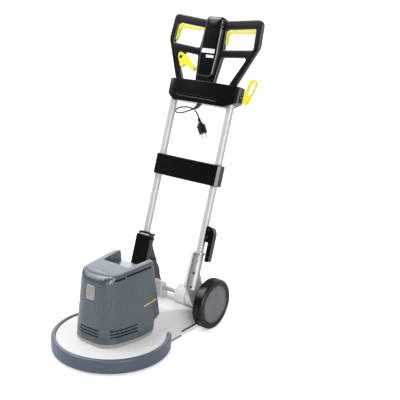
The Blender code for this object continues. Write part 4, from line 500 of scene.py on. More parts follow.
FINISHES = {
    # ABS from a spark-eroded mould: satin sheen over a fine even grain, drawn coarse enough to show
    "slate_abs": finish_from(
        "slate_abs_moulded", moulded("#4e5a61", "#4a565d", "#6e7a82", 0.26, 1.1, 0.004),
        Specular_IOR_Level=0.75),
    # Powder coat over castings and pressings: an even soft white with a shallow orange peel
    "white_paint": finish_from(
        "white_powder_coat", moulded("#ecebe8", "#ebeae7", "#d9d7d2", 0.34, 2.4, 0.003, 0.05, 0.01),
        Specular_IOR_Level=0.05),
    # Soft vinyl extruded in one length: smooth skin with faint draw marks round the ring
    "grey_rubber": finish_from(
        "bumper_vinyl_extruded",
        moulded("#545d6c", "#505968", "#727a89", 0.34, 0.9, 0.006, 0.2, 0.05, (1.0, 1.0, 9.0))),
    # Glass-filled nylon from a polished mould: near black, shiny on the handled edges
    "black_plastic": finish_from(
        "black_nylon_moulded", moulded("#08090a", "#070808", "#17191b", 0.20, 1.2, 0.002, 0.10, 0.02),
        Specular_IOR_Level=0.3, Coat_Weight=0.6, Coat_Roughness=0.10),
    # Acetal: bright, dense, slightly waxy
    "yellow_plastic": finish_from(
        "yellow_acetal_moulded", moulded("#f7ec3a", "#f4e834", "#f9f37c", 0.34, 1.0, 0.006, 0.08)),
    # Lacquered tube over drawn steel: pale silver with lengthwise draw lines
    "silver_paint": finish_from(
        "tube_steel_lacquered", drawn_tube, Metallic=0.1, Coat_Weight=0.2, Coat_Roughness=0.12),
    # Moulded tyre rubber: blue-black, dull, paler where it has rubbed
    "tyre_rubber": finish_from(
        "tyre_rubber_moulded", moulded("#07090c", "#06080a", "#171a1e", 0.30, 0.8, 0.006, 0.2, 0.04),
        Specular_IOR_Level=0.35),
    # Nylon wheel parts: mid grey, satin
    "hub_grey": finish_from(
        "hub_nylon_moulded", moulded("#707174", "#6c6d71", "#8d8f93", 0.42, 1.0, 0.010, 0.2)),
    # Polypropylene seal: warm light grey, dull
    "plinth_grey": finish_from(
        "plinth_polypropylene_moulded", moulded("#b9b7b0", "#b1afa8", "#d0cec8", 0.48, 0.9, 0.03)),
    # Filled polypropylene disc: grey-black, coarse skin
    "driver_plastic": finish_from(
        "driver_polypropylene_moulded", moulded("#33363a", "#2b2e32", "#54575b", 0.5, 1.2, 0.05)),
    # Zinc-plated steel: bluish silver with turning marks
    "steel": finish_from("steel_zinc_plated", plated("#b9bcc0", "#a3a7ac", 0.30, 0.8, 0.010), Metallic=1.0),
    # Die-cast aluminium, bead blasted: soft grey sheen
    "cast_aluminium": finish_from(
        "aluminium_die_cast", plated("#b9b4b0", "#aaa5a1", 0.58, 1.4, 0.030), Metallic=1.0),
    # Non-woven polyester fibre: open, dull and springy
    "pad_fibre": finish_from("pad_fibre_nonwoven", felted, Roughness=0.95, Sheen_Weight=0.3),
}


# Mesh helpers

def skin(rings, tube=False):
    """A skin over outlines with equal point counts; a tube joins its last outline to its first."""
    bm = bmesh.new()
    rows = [[bm.verts.new(point) for point in ring] for ring in rings]
    pairs = list(zip(rows, rows[1:]))
    if tube:
        pairs.append((rows[-1], rows[0]))
    else:
        bm.faces.new(rows[0])
        bm.faces.new(rows[-1])
    for lower, upper in pairs:
        for i in range(len(lower)):
            j = (i + 1) % len(lower)
            bm.faces.new((lower[i], lower[j], upper[j], upper[i]))
    return bm


def circle(radius, height, steps):
    angles = [2 * math.pi * i / steps for i in range(steps)]
    return [(radius * math.cos(a), radius * math.sin(a), height) for a in angles]


def turned(profile, steps=32, tube=False):
    """A (radius, height) profile turned round Z; a tube's profile closes on itself."""
    return skin([circle(radius, height, steps) for radius, height in profile], tube)


def box_outline(width, height, corner, steps=4):
    """A rectangle with rounded corners, in its own plane."""
    points = []
    for quarter, (sx, sy) in enumerate(((1, 1), (-1, 1), (-1, -1), (1, -1))):
        for i in range(steps + 1):
            a = (quarter + i / steps) * math.pi / 2
            points.append((sx * (width / 2 - corner) + corner * math.cos(a),
                           sy * (height / 2 - corner) + corner * math.sin(a)))
    return points


def framed_plate(width, height, thick, corner):
    """A bare plate with a raised rim round a sunk field."""
    edge, rim, sink = 0.0006, 0.0022, 0.0006
    stack = ((0.0, -SUNK), (0.0, thick - edge), (edge, thick), (rim, thick), (rim + edge, thick - sink))
    return skin([[(x, y, z) for x, y in box_outline(width - 2 * inset, height - 2 * inset, corner - inset)]
                 for inset, z in stack])


def rounded(corners, steps=5):
    """A polygon with its corners rounded, each to the radius that it names third."""
    outline = []
    for i, (x, z, radius) in enumerate(corners):
        here = Vector((x, z))
        before = Vector(corners[i - 1][:2]) - here
        after = Vector(corners[(i + 1) % len(corners)][:2]) - here
        half = before.angle(after) / 2
        reach = min(radius / math.tan(half), 0.48 * before.length, 0.48 * after.length)
        inward = (before.normalized() + after.normalized()).normalized()
        centre = here + inward * reach / math.cos(half)
        first = here + before.normalized() * reach - centre
        sweep = first.angle_signed(here + after.normalized() * reach - centre)
        for step in range(steps + 1):
            outline.append(tuple(centre + Matrix.Rotation(-sweep * step / steps, 2) @ first))
    return outline


def both_halves(corners):
    """The right half of a polygon with its mirror image."""
    return corners + [(-x, z, radius) for x, z, radius in reversed(corners)]


def pressed(outlines, front, rear, soft):
    """An outline in X and Z with holes, drawn out along Y, with soft edges on both faces."""
    curve = bpy.data.curves.new("pressing", 'CURVE')
    curve.dimensions = '2D'
    curve.fill_mode = 'BOTH'
    curve.extrude = (rear - front) / 2 - soft
    curve.bevel_depth = soft
    curve.bevel_resolution = 3
    curve.offset = -soft
    for outline in outlines:
        spline = curve.splines.new('POLY')
        spline.points.add(len(outline) - 1)
        for point, (x, z) in zip(spline.points, outline):
            point.co = (x, z, 0.0, 1.0)
        spline.use_cyclic_u = True
    drawing = bpy.data.objects.new("pressing", curve)
    bpy.context.scene.collection.objects.link(drawing)
    bpy.context.view_layer.update()
    mesh = bpy.data.meshes.new_from_object(drawing.evaluated_get(bpy.context.evaluated_depsgraph_get()))
    bm = bmesh.new()
    bm.from_mesh(mesh)
    bpy.data.meshes.remove(mesh)
    bpy.data.objects.remove(drawing)
    bpy.data.curves.remove(curve)
    bmesh.ops.remove_doubles(bm, verts=bm.verts, dist=WELD)
    upright = Matrix.Translation((0.0, (front + rear) / 2, 0.0)) @ Matrix.Rotation(math.pi / 2, 4, 'X')
    return moved(bm, upright)


def bar(outline, start, stop):
    """A section in X and Z drawn out along Y."""
    return skin([[(x, y, z) for x, z in outline] for y in (start, stop)])


def block(low, high):
    return bar([(low[0], low[2]), (high[0], low[2]), (high[0], high[2]), (low[0], high[2])], low[1], high[1])


def moved(bm, place):
    bmesh.ops.transform(bm, matrix=place, verts=bm.verts)
    return bm


def gathered(meshes):
    """Several meshes in one."""
    whole = bmesh.new()
    for part in meshes:
        mesh = bpy.data.meshes.new("part")
        part.to_mesh(mesh)
        part.free()
        whole.from_mesh(mesh)
        bpy.data.meshes.remove(mesh)
    return whole


def seat(point, out, across):
    """Frame on a surface: Z outward, X as near as it goes to a direction across."""
    z = out.normalized()
    x = (across - z * across.dot(z)).normalized()
    y = z.cross(x)
    return Matrix.Translation(point) @ Matrix((x, y, z)).transposed().to_4x4()


def land(node, start, aim):
    """Where a ray meets a node or a piece, and the outward direction there."""
    mesh = (NODES[node] if node in NODES else bpy.data.objects[node]).data
    tree = BVHTree.FromPolygons([v.co for v in mesh.vertices], [p.vertices for p in mesh.polygons])
    point, out, _, _ = tree.ray_cast(Vector(start), Vector(aim))
    if point is None:
        raise ValueError("nothing to land on: " + node)
    return point, (out if out.dot(aim) < 0.0 else -out)


def laid_on(node, rows, aim, thick):
    """A thin sheet that follows a node under a grid of ray starts."""
    bm = bmesh.new()
    top, foot = [], []
    for row in rows:
        spots = [land(node, start, aim) for start in row]
        top.append([bm.verts.new(point + out * thick) for point, out in spots])
        foot.append([bm.verts.new(point - out * SUNK) for point, out in spots])
    last, end = len(rows) - 1, len(rows[0]) - 1
    for sheet in (top, foot):
        for i in range(last):
            for j in range(end):
                bm.faces.new((sheet[i][j], sheet[i][j + 1], sheet[i + 1][j + 1], sheet[i + 1][j]))
    rim = [(0, j) for j in range(end)] + [(i, end) for i in range(last)]
    rim += [(last, j) for j in range(end, 0, -1)] + [(i, 0) for i in range(last, 0, -1)]
    for (i, j), (k, m) in zip(rim, rim[1:] + rim[:1]):
        bm.faces.new((top[i][j], top[k][m], foot[k][m], foot[i][j]))
    return bm


# Pieces

def settle(obj, finish, node):
    """Gives a piece its finish and the body that a node rides on."""
    obj.data.materials.clear()
    obj.data.materials.append(FINISHES[finish])
    bpy.context.scene.collection.objects.link(obj)
    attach(obj, NODES[node]["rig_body"])
    return obj


def piece(name, bm, finish, node, place=BASE, angle=EDGE_ANGLE, stands_for=()):
    """A finished piece on a node's body, with faces smooth up to an angle and flat ones kept flat."""
    mesh = bpy.data.meshes.new(name)
    bmesh.ops.transform(bm, matrix=place, verts=bm.verts)
    bmesh.ops.recalc_face_normals(bm, faces=bm.faces)
    bm.to_mesh(mesh)
    bm.free()
    mesh.shade_smooth()
    mesh.set_sharp_from_angle(angle=angle)
    obj = settle(bpy.data.objects.new(name, mesh), finish, node)
    weighted = obj.modifiers.new("weighted", 'WEIGHTED_NORMAL')
    weighted.keep_sharp = True
    if stands_for:
        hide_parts(*stands_for)
    return obj


def carved(bm, cutters):
    """The mesh with each cutter's room taken out of it."""
    objects = []
    for shape in (bm, *cutters):
        mesh = bpy.data.meshes.new("carving")
        bmesh.ops.recalc_face_normals(shape, faces=shape.faces)
        shape.to_mesh(mesh)
        shape.free()
        obj = bpy.data.objects.new("carving", mesh)
        bpy.context.scene.collection.objects.link(obj)
        objects.append(obj)
    blank = objects[0]
    for tool in objects[1:]:
        cut = blank.modifiers.new("cut", 'BOOLEAN')
        cut.operation = 'DIFFERENCE'
        cut.solver = 'EXACT'
        cut.object = tool
    bpy.context.view_layer.update()
    shape = bpy.data.meshes.new_from_object(blank.evaluated_get(bpy.context.evaluated_depsgraph_get()))
    result = bmesh.new()
    result.from_mesh(shape)
    bpy.data.meshes.remove(shape)
    for obj in objects:
        mesh = obj.data
        bpy.data.objects.remove(obj)
        bpy.data.meshes.remove(mesh)
    return result


def dress(node, edge_mm, cutters=(), edge_angle=EDGE_ANGLE, finish=None, place=BASE, reshape=None):
    """A welded copy of a CAD node with softened edges, which stands for it."""
    source = NODES[node]
    finish = finish or source.data.materials[0].name
    bm = bmesh.new()
    bm.from_mesh(source.data)
    bmesh.ops.remove_doubles(bm, verts=bm.verts, dist=WELD)
    bmesh.ops.dissolve_limit(bm, angle_limit=FLAT_ANGLE, verts=bm.verts, edges=bm.edges)
    if cutters:
        bm = carved(bm, cutters)
    if reshape:
        reshape(bm)
    wear = bm.faces.layers.float.new("wear")
    sharp = [e for e in bm.edges if e.is_manifold and e.calc_face_angle() > edge_angle]
    made = bmesh.ops.bevel(bm, geom=sharp, offset=edge_mm * MM, offset_type='OFFSET', segments=2,
                           profile=0.5, affect='EDGES', clamp_overlap=True)
    for face in made["faces"]:
        face[wear] = 1.0
    return piece(node + "_skin", bm, finish, node, place, SMOOTH_ANGLE, [node])


def screw_head(radius):
    """Pan head with a six-lobed socket."""
    steps = 24
    height = 0.55 * radius
    dome = ((1.0, -SUNK / height), (1.0, 0.30), (0.93, 0.66), (0.76, 0.92), (0.56, 1.0))
    rings = [circle(radius * share, height * rise, steps) for share, rise in dome]
    for share, rise in ((0.40, 1.0), (0.37, 0.30)):
        lobes = [share + 0.06 * math.cos(6 * 2 * math.pi * i / steps) for i in range(steps)]
        rings.append([(radius * lobe * math.cos(2 * math.pi * i / steps),
                       radius * lobe * math.sin(2 * math.pi * i / steps), height * rise)
                      for i, lobe in enumerate(lobes)])
    return skin(rings)


def screws(name, node, starts, aim, radius, finish="steel", place=BASE):
    """Screw heads on a node, where rays from their starts meet it."""
    direction = place.to_3x3() @ Vector(aim)
    across = UP if abs(direction.z) < 0.9 else ACROSS
    heads = []
    for start in starts:
        point, out = land(node, place @ Vector(start), direction)
        heads.append(moved(screw_head(radius), seat(point, out, across)))
    return piece(name, gathered(heads), finish, node, BASE, SCREW_ANGLE)


# Mains lead

def smooth_route(points, steps=6):
    """An even curve through the lead's points, as short straight steps."""
    knots = [CORD_EXIT + Vector(point) for point in points]
    ends = [2 * knots[0] - knots[1], *knots, 2 * knots[-1] - knots[-2]]
    route = []
    for a, b, c, d in zip(ends, ends[1:], ends[2:], ends[3:]):
        for step in range(steps):
            t = step / steps
            route.append(0.5 * (2 * b + (c - a) * t + (2 * a - 5 * b + 4 * c - d) * t ** 2
                                + (3 * b - a - 3 * c + d) * t ** 3))
    route.append(knots[-1])
    return route


def plug_body():
    """Ribbed bend relief, flange and flat-sided grip with finger ribs, hanging down from its cord."""
    stack = [(0.0050, 0.0)]
    for i in range(PLUG_RIBS):
        low = -0.0015 - 0.0026 * i
        stack += [(0.0064, low), (0.0064, low - 0.0013), (0.0051, low - 0.0014), (0.0051, low - 0.0025)]
    stack += PLUG_FLANGE
    for i in range(PLUG_RIBS):
        low = -0.0345 - 0.0046 * i
        stack += [(0.0172, low), (0.0172, low - 0.0022), (0.0162, low - 0.0027), (0.0162, low - 0.0041)]
    stack += [(0.0168, 0.0032 - PLUG_FACE), (0.0162, 0.0010 - PLUG_FACE), (0.0150, -PLUG_FACE)]
    rings = [circle(radius, height, 32) for radius, height in stack]
    return skin([[(x, max(-PLUG_FLAT, min(PLUG_FLAT, y)), z) for x, y, z in ring] for ring in rings])


def plug_pins():
    profile = ((PIN_RADIUS, 0.003), (PIN_RADIUS, 0.004 - PIN_LENGTH), (PIN_RADIUS * 0.9, 0.0028 - PIN_LENGTH),
               (PIN_RADIUS * 0.6, 0.0020 - PIN_LENGTH))
    pins = []
    for side in (-1, 1):
        place = Matrix.Translation((side * PIN_SPACING / 2, 0.0, -PLUG_FACE))
        pins.append(moved(turned(profile, 20), place))
    return gathered(pins)


def make_lead():
    """Mains lead from the strain relief to its plug, and the plug at its end."""
    route = smooth_route(CORD_ROUTE)
    curve = bpy.data.curves.new("mains_cord_sheath", 'CURVE')
    curve.dimensions = '3D'
    curve.bevel_depth = CORD_RADIUS
    curve.bevel_resolution = 5
    curve.use_fill_caps = True
    spline = curve.splines.new('POLY')
    spline.points.add(len(route) - 1)
    for point, place in zip(spline.points, route):
        point.co = (*place, 1.0)
    spline.use_smooth = True
    cord = settle(bpy.data.objects.new("mains_cord_sheath", curve), "black_plastic", "mains_cord")
    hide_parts("mains_cord")
    ahead = (route[-1] - route[-2]).normalized()
    turn = Vector((0.0, 0.0, -1.0)).rotation_difference(ahead)
    hang = Matrix.Translation(route[-1] + ahead * FIT_GAP) @ turn.to_matrix().to_4x4()
    plug = piece("mains_plug_body", plug_body(), "black_plastic", "mains_plug", hang,
                 stands_for=["mains_plug"])
    pins = piece("mains_plug_pins", plug_pins(), "steel", "mains_plug", hang)


def make_gland_ribs():
    """Rings round the bent strain relief, one at each of its sections."""
    centre = GLAND_FOOT
    ribs = []
    for i in range(1, GLAND_SECTIONS + 1):
        share = i / GLAND_SECTIONS
        bend = math.radians(GLAND_BEND[0] + GLAND_BEND[1] * share)
        aim = GLAND_LEAN * math.sin(bend) - UP * math.cos(bend)
        centre = centre + aim * GLAND_LENGTH / GLAND_SECTIONS
        radius = GLAND_RADIUS - GLAND_TAPER * share + RIB_PROUD
        section = [(radius + x, y) for x, y, _ in circle(RIB_RADIUS, 0.0, 8)]
        back = LAST_RIB_BACK if i == GLAND_SECTIONS else 0.0
        ribs.append(moved(turned(section, 24, True), seat(centre - aim * back, aim, ACROSS)))
    piece("cord_gland_ribs", gathered(ribs), "black_plastic", "cord_gland", HANDLE)


# Base

def make_deck():
    """Turned deck: round shoulder, thin skirt inside the bumper and a bore for the drive."""
    bore, under, foot = 0.0223, 0.0496, 0.0260
    shoulder = ((0.1900, 0.0), (0.1945, 0.0002), (0.1990, 0.0011), (0.2020, 0.0028), (0.2036, 0.0048),
                (DECK_RADIUS, 0.0072))
    profile = [(bore, DECK_TOP)] + [(radius, DECK_TOP - drop) for radius, drop in shoulder]
    profile += [(DECK_RADIUS, foot + 0.0015), (0.2034, foot + 0.0002), (0.1992, foot),
                (0.1984, foot + 0.0006), (0.1980, under - 0.0006), (0.1975, under), (bore, under)]
    piece("deck_housing_skin", turned(profile, 128, True), "white_paint", "deck_housing",
          stands_for=["deck_housing"])


def make_bumper():
    """Extruded ring with round outer corners, open at the rear, and a screw in each of its ends."""
    bore, wide, top, low = BUMPER_BORE, BUMPER_RADIUS, BUMPER_TOP, BUMPER_BOTTOM
    corner, lip, waist = 0.006, 0.003, 0.030
    section = [(bore, low + lip), (bore, top - 0.0025), (bore + 0.0008, top - 0.0008), (bore + lip, top)]
    for i in range(7):
        a = math.pi / 2 * (1.0 - i / 6)
        section.append((wide - corner + corner * math.cos(a), top - corner + corner * math.sin(a)))
    section.append((wide, waist))
    for i in range(6):
        a = -math.pi / 2 * i / 5
        section.append((wide - corner + corner * math.cos(a), low + corner + corner * math.sin(a)))
    section.append((bore + lip, low))
    steps = 120
    sweep = 2 * (math.pi - BUMPER_OPENING)
    rings = []
    for i in range(steps + 1):
        angle = BUMPER_OPENING + sweep * i / steps
        rings.append([(-r * math.sin(angle), r * math.cos(angle), z) for r, z in section])
    piece("bumper_ring_skin", skin(rings), "grey_rubber", "bumper_ring", stands_for=["bumper_ring"])
    screw_angle, screw_circle = BUMPER_OPENING - math.radians(4.0), 0.2125
    for side, word in SIDES:
        start = (side * screw_circle * math.sin(screw_angle), screw_circle * math.cos(screw_angle), 0.3)
        screws("bumper_end_screw_" + word, "bumper_end_" + word, [start], (0, 0, -1), 0.0042)


def plan_reach(corners, angle):
    """Distance from the cover's middle to a rounded plan, at an angle from straight ahead."""
    aim = Vector((math.sin(angle), -math.cos(angle)))
    outline = [Vector(point) for point in rounded(corners, 16)]
    for a, b in zip(outline, outline[1:] + outline[:1]):
        edge = b - a
        across = aim.x * edge.y - aim.y * edge.x
        if abs(across) > 1e-12:
            along = (a.x * edge.y - a.y * edge.x) / across
            share = (a.x * aim.y - a.y * aim.x) / across
            if along > 0.0 and -1e-6 <= share <= 1.0 + 1e-6:
                return along
    raise ValueError("plan is open")


def rounder_front(bm):
    """Draws the cover's two front corners in from their moulded radius to a rounder plan."""
    last = COVER_CORNER_END
    for degrees in range(COVER_CORNER_STEP, last, COVER_CORNER_STEP):
        for side in (-1, 1):
            turn = math.radians(side * degrees)
            bmesh.ops.bisect_plane(bm, geom=bm.verts[:] + bm.edges[:] + bm.faces[:], dist=1e-6,
                                   plane_co=(0.0, COVER_MIDDLE, 0.0),
                                   plane_no=(math.cos(turn), math.sin(turn), 0.0))
    draws = []
    for plan in (COVER_PLAN_LOW, COVER_PLAN_HIGH):
        (fx, fy), (sx, sy), (rx, ry) = [(x, y - COVER_MIDDLE) for x, y in plan]
        pair = [both_halves([(fx + spread, fy, front), (sx, sy, COVER_FLANK_RADIUS),
                            (rx, ry, COVER_REAR_RADIUS)])
                for spread, front in zip((0.0, COVER_FRONT_SPREAD), COVER_FRONT_RADII)]
        draws.append([plan_reach(pair[1], math.radians(d)) / plan_reach(pair[0], math.radians(d))
                      for d in range(last + 2)])
    for vert in bm.verts:
        x, y = vert.co.x, vert.co.y - COVER_MIDDLE
        degrees = math.degrees(math.atan2(abs(x), -y))
        if degrees < last:
            step = int(degrees)
            part = degrees - step
            rise = (vert.co.z - COVER_LEVELS[0]) / (COVER_LEVELS[1] - COVER_LEVELS[0])
            low, high = [d[step] + (d[step + 1] - d[step]) * part for d in draws]
            share = low + (high - low) * max(0.0, min(1.0, rise))
            vert.co.x = x * share
            vert.co.y = COVER_MIDDLE + y * share


def fuller_cover(bm):
    """Rounder front corners, a fuller plan over the plinth and a crown that climbs more to the rear."""
    rounder_front(bm)
    front, rear = COVER_PLAN_HIGH[0][1], COVER_PLAN_HIGH[2][1]
    for vert in bm.verts:
        rise = (vert.co.z - COVER_LEVELS[0]) / (COVER_LEVELS[1] - COVER_LEVELS[0])
        climb = (vert.co.y - front) / (rear - front)
        vert.co.z += COVER_REAR_LIFT * max(0.0, min(1.0, rise)) * max(0.0, min(1.0, climb))
        vert.co.x *= COVER_WIDEN
        if vert.co.y < COVER_MIDDLE:
            vert.co.y = COVER_MIDDLE + (vert.co.y - COVER_MIDDLE) * COVER_FORWARD


def make_hood():
    """Smooth hood between the fins' front ends, which ends in a round step down to the channel."""
    flat_end = HOOD_REAR - HOOD_EDGE
    stops = [(HOOD_FRONT + (flat_end - HOOD_FRONT) * i / 12, 0.0) for i in range(13)]
    for i in range(1, 6):
        a = math.pi / 2 * i / 5
        stops.append((flat_end + HOOD_EDGE * math.sin(a), HOOD_EDGE * (1.0 - math.cos(a))))
    rings = []
    for y, drop in stops:
        half = HOOD_HALF + HOOD_FLARE * (y - HOOD_FRONT)
        crest = land("motor_cover_skin", (half + HOOD_FIN_REACH, y, 1.0), -UP)[0].z + HOOD_PROUD
        top = crest - drop
        low = crest - HOOD_KEEL - HOOD_EDGE - HOOD_FALL * (y - HOOD_FRONT)
        rings.append([(-half, y, low), (half, y, low), (half, y, top), (-half, y, top)])
    piece("motor_cover_hood", skin(rings), "slate_abs", "motor_cover")


def make_cover_trim():
    """Bare badge plate in front, a stripe on each flank and the screws at the rear."""
    point, out = land("motor_cover_skin", BADGE_PLACE, TO_REAR)
    piece("cover_badge_plate", framed_plate(*BADGE_SIZE), "cast_aluminium", "motor_cover",
          seat(point, out, ACROSS))
    for side, word in SIDES:
        rows = []
        for lift in (-STRIPE_HALF, STRIPE_HALF):
            shifts = [STRIPE_LENGTH * i / 8 for i in range(9)]
            rows.append([(side * 0.3, STRIPE_START + shift, STRIPE_HEIGHT + STRIPE_CLIMB * shift + lift)
                         for shift in shifts])
        piece("cover_stripe_" + word, laid_on("motor_cover_skin", rows, (-side, 0, 0), STRIPE_THICK),
              "yellow_plastic", "motor_cover")
    starts = [(side * 0.076, 0.4, z) for side in (-1, 1) for z in (0.150, 0.245)]
    screws("cover_rear_screws", "motor_cover", starts, (0, -1, 0), 0.0045)


def make_neck_trim():
    """Black strips under the neck's foot and along its base plate, and the plate's screws."""
    # Black strips laid along the dark line low on the neck, in the black plastic finish
    toe = [(0.1380, 0.0087), (0.1484, 0.0087), (0.1490, 0.0080), (0.1490, 0.0052), (0.1478, 0.0040),
           (0.1380, 0.0040)]
    tail = [(0.1384, 0.0206), (0.1440, 0.0206), (0.1446, 0.0198), (0.1446, 0.0152), (0.1434, 0.0138),
            (0.1384, 0.0138)]
    strips = []
    for side in (-1, 1):
        for section, front, rear in ((toe, 0.1605, 0.2300), (tail, 0.2430, 0.4270)):
            strips.append(bar([(side * x, z) for x, z in section], front, rear))
    piece("neck_edge_strips", gathered(strips), "black_plastic", "neck_housing")
    starts = [(x, y, -0.1) for x in (-0.105, 0.105) for y in (0.262, 0.408)]
    screws("base_plate_screws", "neck_base_plate", starts, (0, 0, 1), 0.005)


def make_wheels():
    """Tyres with a chequered tread, dished rims and ringed caps, turned round the axle."""
    for side, word in SIDES:
        middle = Matrix.Translation((side * WHEEL_X, AXLE.y, AXLE.z))
        place = middle @ Matrix.Rotation(side * math.pi / 2, 4, 'Y')
        rings = [circle(radius, height, TREAD_STEPS) for radius, height in TYRE_WALL]
        for row in range(TREAD_ROWS):
            height = TREAD_HALF - 2 * TREAD_HALF * row / (TREAD_ROWS - 1)
            ring = []
            for i in range(TREAD_STEPS):
                radius = WHEEL_RADIUS - (TREAD_DEPTH if (i + row) % 2 else 0.0)
                angle = 2 * math.pi * i / TREAD_STEPS
                ring.append((radius * math.cos(angle), radius * math.sin(angle), height))
            rings.append(ring)
        rings += [circle(radius, -height, TREAD_STEPS) for radius, height in reversed(TYRE_WALL)]
        piece("tyre_%s_skin" % word, skin(rings, True), "tyre_rubber", "tyre_" + word, place, TREAD_ANGLE,
              ["tyre_" + word])
        piece("rim_%s_skin" % word, turned(RIM_SECTION, 64, True), "hub_grey", "rim_" + word, place,
              stands_for=["rim_" + word])
        piece("hub_cap_%s_skin" % word, turned(CAP_SECTION, 64), "hub_grey", "hub_cap_" + word, place,
              stands_for=["hub_cap_" + word])
        starts = [(side * 0.4, AXLE.y + shift, AXLE.z) for shift in (-CAP_SCREW_X, CAP_SCREW_X)]
        screws("hub_cap_screws_" + word, "hub_cap_" + word, starts, (-side, 0, 0), 0.0026, "hub_grey")


def make_axle_support():
    """Slim bearing block and hub at the axle's left, which leave the far wheel in view."""
    foot, radius, half, soft, block_x, hub_x = 0.0445, 0.021, 0.0185, 0.003, -0.0775, -0.0965
    half_outline = [(0.030, -foot, 0.004), (0.0215, -0.010, 0.020), (radius, radius, radius)]
    outline = rounded(both_halves(half_outline), 8)
    turn = Matrix.Translation(AXLE + ACROSS * block_x) @ Matrix.Rotation(math.pi / 2, 4, 'Z')
    piece("axle_drum_left_skin", pressed([outline], -half, half, soft), "white_paint", "axle_drum_left",
          turn, SMOOTH_ANGLE, ["axle_drum_left"])
    profile = ((0.0215, 0.0), (0.0225, 0.0010), (0.0225, 0.0030), (0.0262, 0.0040), (0.0262, 0.0090))
    side = seat(AXLE + ACROSS * hub_x, -ACROSS, UP)
    piece("pivot_hub_left_skin", turned(profile, 48), "white_paint", "pivot_hub_left", side,
          stands_for=["pivot_hub_left"])


# Handle

def make_frame_front():
    """Front half of the handle frame: flat faces, crisp round edges and two grip windows."""
    outline = rounded(both_halves(FRAME_HALF), 6)
    window = rounded(FRAME_WINDOW, 5)
    shell = pressed([outline, window, [(-x, z) for x, z in window]], -FRAME_DEPTH, FRAME_DEPTH, FRAME_EDGE)
    shell = carved(shell, [block((-0.5, -FIT_GAP / 2, 0.5), (0.5, 0.1, 1.5))])
    piece("handle_frame_front_skin", shell, "black_plastic", "handle_frame_front", HANDLE, EDGE_ANGLE,
          ["handle_frame_front"])


def make_column_shell():
    """Column's front cover: nearly straight sides, round edges, a crowned face and a button pocket."""
    outline = rounded(both_halves(COLUMN_HALF), 7)
    middle, length = (COLUMN_LOW + COLUMN_HIGH) / 2, COLUMN_HIGH - COLUMN_LOW
    shoulder = COLUMN_DEPTH - COLUMN_EDGE
    stack = [(0.0, 0.0), (COLUMN_DRAFT, shoulder)]
    for i in range(1, 8):
        a = math.pi / 2 * i / 7
        inset = COLUMN_DRAFT + COLUMN_EDGE * (1.0 - math.cos(a))
        stack.append((inset, shoulder + COLUMN_EDGE * math.sin(a)))
    stack += [(inset, COLUMN_DEPTH + crown) for inset, crown in COLUMN_CROWN]
    rings = []
    for inset, out in stack:
        ring = []
        for x, z in outline:
            z = middle + (z - middle) * (1.0 - 2 * inset / length)
            lean = 1.0 - COLUMN_LEAN * (COLUMN_HIGH - z) / length
            ring.append((x * (1.0 - inset / COLUMN_WIDEST), COLUMN_SEAT - out * lean, z))
        rings.append(ring)
    pocket = turned(((0.0104, 0.0), (0.0118, 0.020)), 32)
    dish = seat(Vector((0.0345, BUTTON_Y, BUTTON_Z)), ACROSS, UP)
    shell = carved(skin(rings), [moved(pocket, dish)])
    piece("column_front_cover_skin", shell, "black_plastic", "column_front_cover", HANDLE, EDGE_ANGLE,
          ["column_front_cover"])


def make_switch_levers():
    """Bows under the grips: the leg in view is full, the other one slim and set to the rear."""
    for word, (side, bow, leg) in LEVERS.items():
        shapes = [pressed([[(side * x, z) for x, z in rounded(bow)]], -0.0070, 0.0070, 0.0016),
                  pressed([[(side * x, z) for x, z in rounded(leg)]], 0.0020, 0.0068, 0.0010)]
        node = "switch_lever_" + word
        piece(node + "_skin", gathered(shapes), "yellow_plastic", node, HANDLE, EDGE_ANGLE, [node])


def about(point, turn):
    """A turn or scale about a point of the handle."""
    return HANDLE @ Matrix.Translation(point) @ turn @ Matrix.Translation(-point) @ HANDLE.inverted()


def make_lock_trim():
    """Guide strip under the cap's open window, and the release knob at the side."""
    strip = framed_plate(0.046, 0.0036, 0.0012, 0.0016)
    start = HANDLE @ Vector((-0.1065, -0.2, 0.2066))
    point, out = land("lock_housing_cap", start, HANDLE.to_3x3() @ TO_REAR)
    piece("lock_guide_strip", strip, "steel", "lock_housing_cap", seat(point, out, ACROSS))
    knob = ((0.0030, -SUNK), (0.0030, 0.0022), (0.0052, 0.0030), (0.0058, 0.0050), (0.0055, 0.0075),
            (0.0040, 0.0092), (0.0015, 0.0098))
    point, out = land("lock_housing", HANDLE @ Vector((0.1, -0.033, 0.1945)), -ACROSS)
    piece("lock_release_knob", turned(knob, 24), "black_plastic", "lock_housing", seat(point, out, UP))


def make_column_plates():
    """Two bare label plates on the column, the upper one across its whole face."""
    aim = HANDLE.to_3x3() @ TO_REAR
    plates = (("upper", 0.0, 0.060, 0.9487, 0.9652), ("lower", 0.0125, 0.034, 0.9310, 0.9415))
    for word, middle, width, low, high in plates:
        places = [middle - width / 2 + width * i / 12 for i in range(13)]
        rows = [[HANDLE @ Vector((x, -0.2, z)) for x in places] for z in (low, high)]
        piece("column_plate_" + word, laid_on("column_front_cover_skin", rows, aim, 0.0005), "white_paint",
              "column_front_cover")


def make_control_trim():
    """Pin cap of the tilt lever and the collar round the safety button."""
    cap = ((0.0060, 0.0), (0.0066, 0.0005), (0.0066, 0.0012), (0.0056, 0.0022), (0.0030, 0.0028))
    front = seat(TILT_PIN - TO_REAR * 0.0082, -TO_REAR, ACROSS)
    piece("tilt_lever_pin_cap", turned(cap, 24), "black_plastic", "tilt_lever_pin", HANDLE @ front)
    collar = ((0.0066, 0.0), (0.0066, 0.0060), (0.0072, 0.0066), (0.0088, 0.0066), (0.0094, 0.0060),
              (0.0094, 0.0))
    side = seat(Vector((0.0300, BUTTON_Y, BUTTON_Z)), ACROSS, UP)
    piece("safety_button_collar", turned(collar, 32, True), "black_plastic", "column_front_cover",
          HANDLE @ side)


